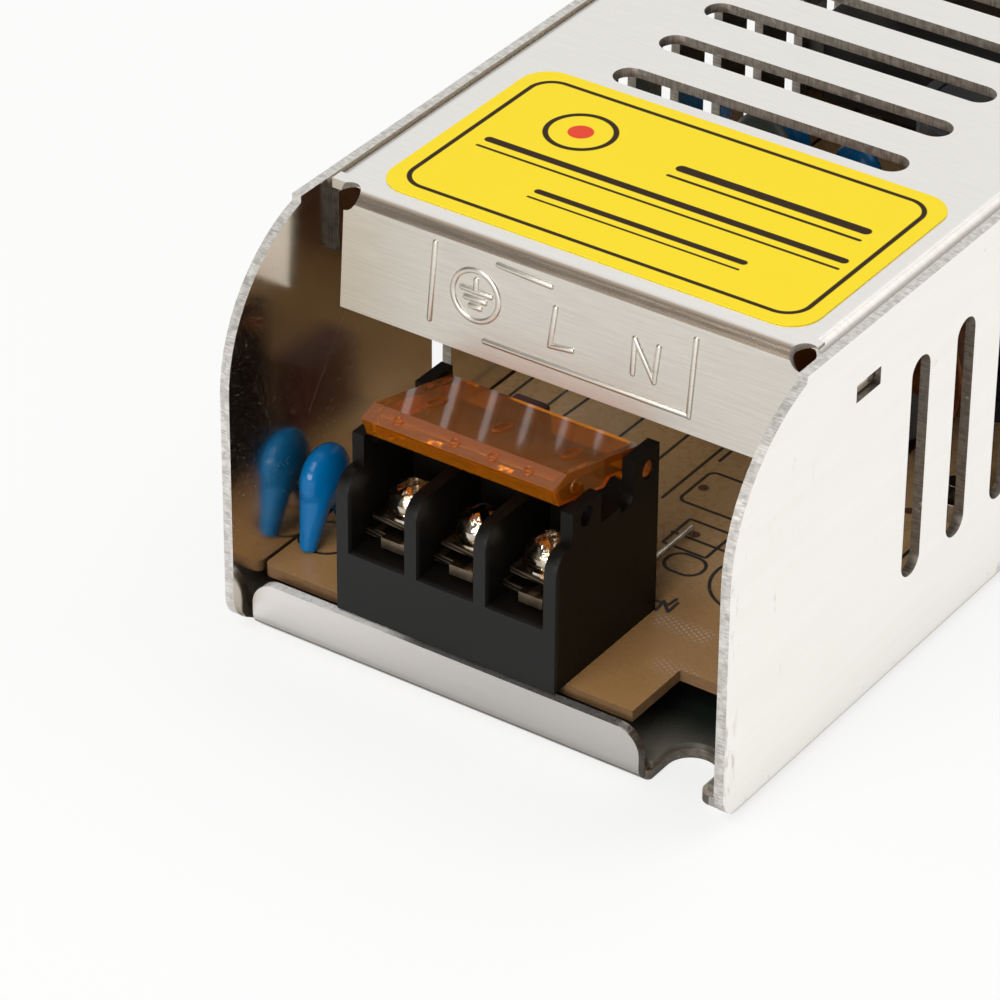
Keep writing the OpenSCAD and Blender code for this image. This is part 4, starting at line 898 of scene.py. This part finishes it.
def screwFinish(look):
    material, shader, place = startMaterial("screwHead")
    x, y, z = axes(place)
    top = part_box("mains_screw_1")[1].z / mm
    deep, shallow = look["recess"]
    stain = spots(place, look["stain"], look["stainEdge"])
    crumple = grain(place, *look["crumple"]) * rise(z, top - deep, top - shallow)
    feed(shader, "Base Color", blendColour(stain, look["bright"], look["brown"]))
    feed(shader, "Metallic", 1.0)
    feed(shader, "Roughness", shade(stain, *look["rough"]))
    feed(shader, "Normal", relief(crumple + stain * look["stainRise"], *look["relief"]))
    return material


# clamps and plates: thin dark leaves with bright rims; the dark is painted shade for their place deep in the bays, the
# bright rims are painted highlights
leafLook = {
    "slant": 0.12, "pitch": 15, "rimEdge": (0.55, 0.95), "rimShare": (0.4, 1.0), "stain": (900, even, 3.0),
    "dark": (0.1, 0.076, 0.052, 1), "bright": (0.46, 0.37, 0.26, 1), "rough": (0.24, 0.4), "stainRise": 0.3,
    "relief": (0.3, 0.04 * mm),
}


def shadedLeaves(look):
    material, shader, place = startMaterial("shadedLeaf")
    x, y, z = axes(place)
    # painted highlights: bright slanted stripes stand for the stacked leaves' lit rims
    rim = rise(x.sum("SINE", (z + x * look["slant"]) * look["pitch"]), *look["rimEdge"])
    stain = grain(place, *look["stain"])
    bright = rim * shade(stain, *look["rimShare"])
    feed(shader, "Base Color", blendColour(bright, look["dark"], look["bright"]))
    feed(shader, "Metallic", 1.0)
    feed(shader, "Roughness", shade(stain, *look["rough"]))
    feed(shader, "Normal", relief(rim + stain * look["stainRise"], *look["relief"]))
    return material


# insulation film: dark, with painted light making it paler toward the open ends
filmLook = {
    "fine": (500, even, 4.0), "fineShare": 0.6, "openEnd": (94.5, 104.0), "dark": (0.012, 0.017, 0.014, 1),
    "pale": (0.2, 0.19, 0.16, 1), "rough": (0.2, 0.32), "relief": (0.1, 0.01 * mm),
}


def filmSheet(look):
    material, shader, place = startMaterial("darkFilm")
    x, y, z = axes(place)
    fine = grain(place, *look["fine"])
    # painted light: paler toward the open ends, where light reaches in
    pale = rise(y.size() + fine * look["fineShare"], *look["openEnd"])
    feed(shader, "Base Color", blendColour(pale, look["dark"], look["pale"]))
    feed(shader, "Roughness", shade(fine, *look["rough"]))
    feed(shader, "Normal", relief(fine, *look["relief"]))
    return material


lensLook = {
    "cloud": (300, even, 3.0), "deep": (0.06, 0.5, 0.1, 1), "pale": (0.1, 0.62, 0.14, 1),
    "rough": (0.12, 0.24), "clear": 0.5,
}


def greenLens(look):
    material, shader, place = startMaterial("greenLens")
    cloud = grain(place, *look["cloud"])
    feed(shader, "Base Color", blendColour(cloud, look["deep"], look["pale"]))
    feed(shader, "Roughness", shade(cloud, *look["rough"]))
    shader.inputs["Transmission Weight"].default_value = look["clear"]
    return material


# amber lid: clear tinted plastic; its edge faces get a paler, less clear copy, painted light for the glow along its
# edges
amberLook = {
    "cloud": (160, even, 4.0), "fine": (900, even, 3.0), "rough": (0.03, 0.09), "fineRise": 0.2,
    "relief": (0.04, 0.05 * mm), "index": 1.5,
}


def amberFinish(name, light, dark, clear):
    look = amberLook
    material, shader, place = startMaterial(name)
    cloud = grain(place, *look["cloud"])
    fine = grain(place, *look["fine"])
    feed(shader, "Base Color", blendColour(cloud, light, dark))
    feed(shader, "Roughness", shade(fine, *look["rough"]))
    feed(shader, "Normal", relief(cloud + fine * look["fineRise"], *look["relief"]))
    shader.inputs["Transmission Weight"].default_value = clear
    shader.inputs["IOR"].default_value = look["index"]
    return material


amberPlastic = amberFinish("amberPlastic", light=(0.98, 0.33, 0.014, 1), dark=(0.95, 0.285, 0.01, 1), clear=0.86)
amberEdgeGlow = amberFinish("amberEdgeGlow", light=(1, 0.4, 0.03, 1), dark=(0.98, 0.35, 0.02, 1), clear=0.4)
headFinish = screwFinish(screwLook)
shadedPlates = shadedLeaves(leafLook)
filmFinish = filmSheet(filmLook)
lensFinish = greenLens(lensLook)

# every other CAD piece: its finish, its edge break in mm and its record slot
plainPieces = {
    "insulation_film": (filmFinish, 0, "film"), "board_pillars": (nickelFinish, 0.08, "nickel"),
    "board_screws": (nickelFinish, 0.1, "nickel"), "mains_block": (blockPlastic, 0.14, "black_plastic"),
    "output_block": (blockPlastic, 0.14, "black_plastic"), "fuse": (maroonFinish, 0.35, "maroon"),
    "jumper_wire": (nickelFinish, 0, "nickel"), "film_capacitor": (boxYellow, 0.4, "yellow_box"),
    "line_choke_core": (ferriteFinish, 0.4, "ferrite"), "line_choke_coil_a": (enamelFinish, 0.3, "copper"),
    "line_choke_coil_b": (enamelFinish, 0.3, "copper"), "bridge_rectifier": (blackPlastic, 0.2, "black_plastic"),
    "bulk_capacitor_1": (darkSleeve, 0.25, "sleeve_dark"), "bulk_capacitor_2": (darkSleeve, 0.25, "sleeve_dark"),
    "transformer_core": (ferriteFinish, 0.3, "ferrite"),
    "transformer_bobbin": (bobbinFinish, 0.15, "black_plastic"), "transformer_winding": (tapeFinish, 0.6, "tape"),
    "switch_transistor": (blackPlastic, 0.2, "black_plastic"), "switch_heatsink": (sinkFinish, 0.2, "sheet_metal"),
    "output_rectifier": (blackPlastic, 0.2, "black_plastic"), "rectifier_heatsink": (sinkFinish, 0.2, "sheet_metal"),
    "output_choke_core": (corePaint, 0.4, "core_paint"), "output_choke_coil": (copperFinish, 0.4, "copper"),
    "output_capacitor_1": (greenSleeve, 0.2, "sleeve_green"), "output_capacitor_2": (greenSleeve, 0.2, "sleeve_green"),
    "output_capacitor_3": (greenSleeve, 0.2, "sleeve_green"), "control_chip": (blackPlastic, 0.15, "black_plastic"),
    "optocoupler": (whitePlastic, 0.15, "white_plastic"), "trimmer_body": (bluePlastic, 0.15, "blue_plastic"),
    "trimmer_rotor": (whitePlastic, 0.12, "white_plastic"), "power_led": (lensFinish, 0.08, "green_lens"),
}


def plainName(node):
    first, *rest = node.split("_")
    return first + "".join(word.capitalize() for word in rest)


for node, (finish, edge, slotName) in plainPieces.items():
    dressed = softCopy(node, plainName(node), edge * mm)
    paint(dressed, [finish])
print("other pieces dressed:", len(plainPieces))

# the lids' slim edge faces take the paler, less clear amber: painted light for the glow along the edges
lidEdge = {"break": 0.26 * mm, "narrow": 2.6 * mm * mm, "slim": 45}


def dressLids(look):
    for node in ("mains_lid", "output_lid"):
        lid = softCopy(node, plainName(node), look["break"])
        paint(lid, [amberPlastic, amberEdgeGlow])
        for face in lid.data.polygons:
            corners = [lid.data.vertices[index].co for index in face.vertices]
            around = sum((corners[place] - corners[place - 1]).length for place in range(len(corners)))
            face.material_index = 1 if around ** 2 > look["slim"] * face.area and face.area < look["narrow"] else 0


dressLids(lidEdge)
print("lids dressed")

# terminals: bright screw heads over dark clamps, bright tongues before dark plates; the dark clamps and plates are
# painted shade
terminalLook = {
    "clampTop": 15.12, "plateFront": 101.9, "screwBreak": 0.07 * mm, "plateBreak": 0.06 * mm,
    "ways": {"mains": 3, "output": 4},
}


def dressTerminals(look):
    for end, ways in look["ways"].items():
        for way in range(1, ways + 1):
            screw = softCopy(f"{end}_screw_{way}", f"{end}Screw{way}", look["screwBreak"])
            paint(screw, [headFinish, shadedPlates], lambda at, normal: 1 if at.z < look["clampTop"] else 0)
            plate = softCopy(f"{end}_contact_{way}", f"{end}Contact{way}", look["plateBreak"])
            paint(plate, [shadedTongue, shadedPlates], lambda at, normal: 1 if abs(at.y) < look["plateFront"] else 0)


dressTerminals(terminalLook)
print("terminals dressed")

# coated discs: a round body whose coat runs down both leads
# each piece: place on the board, turn, width, thickness, height of the middle, finish and record slot
discLook = {
    "legs": [(-0.86, -0.3, 0.85, 1.0), (0.86, 0.3, 0.45, 0.75)], "legSides": 24, "ball": (40, 24), "tall": 1.04,
    "voxel": 0.13, "soften": (0.5, 32), "smoothing": 60, "board": 5.8,
    "pieces": {
        "disc_capacitor_1": ((-24.2, -95.6), 0, 6.6, 3.7, 6.8, blueCoat, "blue_coat"),
        "disc_capacitor_2": ((-11.4, -21), 70, 6.6, 3.9, 8.9, blueCoat, "blue_coat"),
        "disc_capacitor_3": ((-21, -19), 60, 6.6, 3.9, 8.9, blueCoat, "blue_coat"),
        "inrush_thermistor": ((-17.8, -29), 70, 10, 4.2, 12, greyCoat, "grey_coat"),
    },
}


def addDisc(look, node, place, turn, width, thick, lift, finish, slotName):
    clearSelection()
    around, upward = look["ball"]
    bpy.ops.mesh.primitive_uv_sphere_add(segments=around, ring_count=upward, radius=width / 2 * mm,
                                         location=(0, 0, lift * mm))
    body = bpy.context.object
    bpy.ops.object.mode_set(mode="EDIT")
    bpy.ops.transform.resize(value=(thick / width, 1, look["tall"]))
    for low, high, foot, share in look["legs"]:
        start, end = Vector((0, low * width / 2, 0)), Vector((0, high * width / 2, lift))
        tilt = math.atan2(start.y - end.y, lift)
        bpy.ops.mesh.primitive_cone_add(vertices=look["legSides"], radius1=foot * mm, radius2=share * thick / 2 * mm,
                                        depth=(end - start).length * mm, location=(start + end) / 2 * mm,
                                        rotation=(tilt, 0, 0))
    leaveEdit()
    settle(body)
    applyModifier(body, "REMESH", mode="VOXEL", voxel_size=look["voxel"] * mm)
    factor, rounds = look["soften"]
    applyModifier(body, "SMOOTH", factor=factor, iterations=rounds)
    stand = Matrix.Translation(Vector((place[0], place[1], look["board"])) * mm)
    body.data.transform(stand @ Matrix.Rotation(math.radians(turn), 4, "Z"))
    body.name = plainName(node)
    smooth(body, look["smoothing"])
    paint(body, [finish])
    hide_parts(node)
    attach(body, "case")


for node, numbers in discLook["pieces"].items():
    addDisc(discLook, node, *numbers)
print("discs modelled")

# moulded marks on the two lids: rings on the front bevel, ovals on the top
# each lid: pivot, opening angle, turn, places of the rings and of the ovals
lidLook = {
    "ring": 0.46, "bead": 0.19, "oval": (0.55, 1.5), "top": 1.75, "flat": -6.9, "bevel": (-12.725, 1.165),
    "slope": math.atan2(1.17, 1.85), "steps": (36, 10), "flatten": 0.9, "smoothing": 60,
    "lids": {
        "mains_lid": ((-4.32, -89.6, 22.1), 14.5, 0, (-7.13, -0.88, 3.22, 7.13), (-7, 0.37, 7.9)),
        "output_lid": ((1.31, 89.6, 22.1), 0, 180, (-11.43, -3.81, 3.81, 11.43), (-11.43, -3.81, 3.81, 11.43)),
    },
}


def lidRing(radiusX, radiusY, look):
    clearSelection()
    around, across = look["steps"]
    bpy.ops.mesh.primitive_torus_add(major_radius=1 * mm, minor_radius=look["bead"] * mm, major_segments=around,
                                     minor_segments=across)
    ring = bpy.context.object
    bpy.ops.object.mode_set(mode="EDIT")
    bpy.ops.transform.resize(value=(radiusX, radiusY, look["flatten"]))
    leaveEdit()
    return ring


def addLidMarks(body, pivot, angle, turn, rings, ovals, look):
    hinge = (Matrix.Translation(Vector(pivot) * mm) @ Matrix.Rotation(math.radians(turn), 4, "Z")
             @ Matrix.Rotation(-math.radians(angle), 4, "X"))
    small, long = lidRing(look["ring"], look["ring"], look), lidRing(*look["oval"], look)
    copies = []
    for x in rings:
        spot = Matrix.Translation(Vector((x, *look["bevel"])) * mm) @ Matrix.Rotation(look["slope"], 4, "X")
        copies.append((small, spot))
    for x in ovals:
        copies.append((long, Matrix.Translation(Vector((x, look["flat"], look["top"])) * mm)))
    marks = []
    for source, spot in copies:
        mark = bpy.data.objects.new("mark", source.data.copy())
        scene.collection.objects.link(mark)
        mark.data.transform(hinge @ spot)
        marks.append(mark)
    bpy.data.objects.remove(small)
    bpy.data.objects.remove(long)
    clearSelection()
    for mark in marks:
        mark.select_set(True)
    bpy.context.view_layer.objects.active = marks[0]
    bpy.ops.object.join()
    marks[0].name = plainName(body) + "Marks"
    smooth(marks[0], look["smoothing"])
    paint(marks[0], [amberPlastic])
    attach(marks[0], body)


for body, numbers in lidLook["lids"].items():
    addLidMarks(body, *numbers, lidLook)
print("lid marks moulded")

clearSelection()
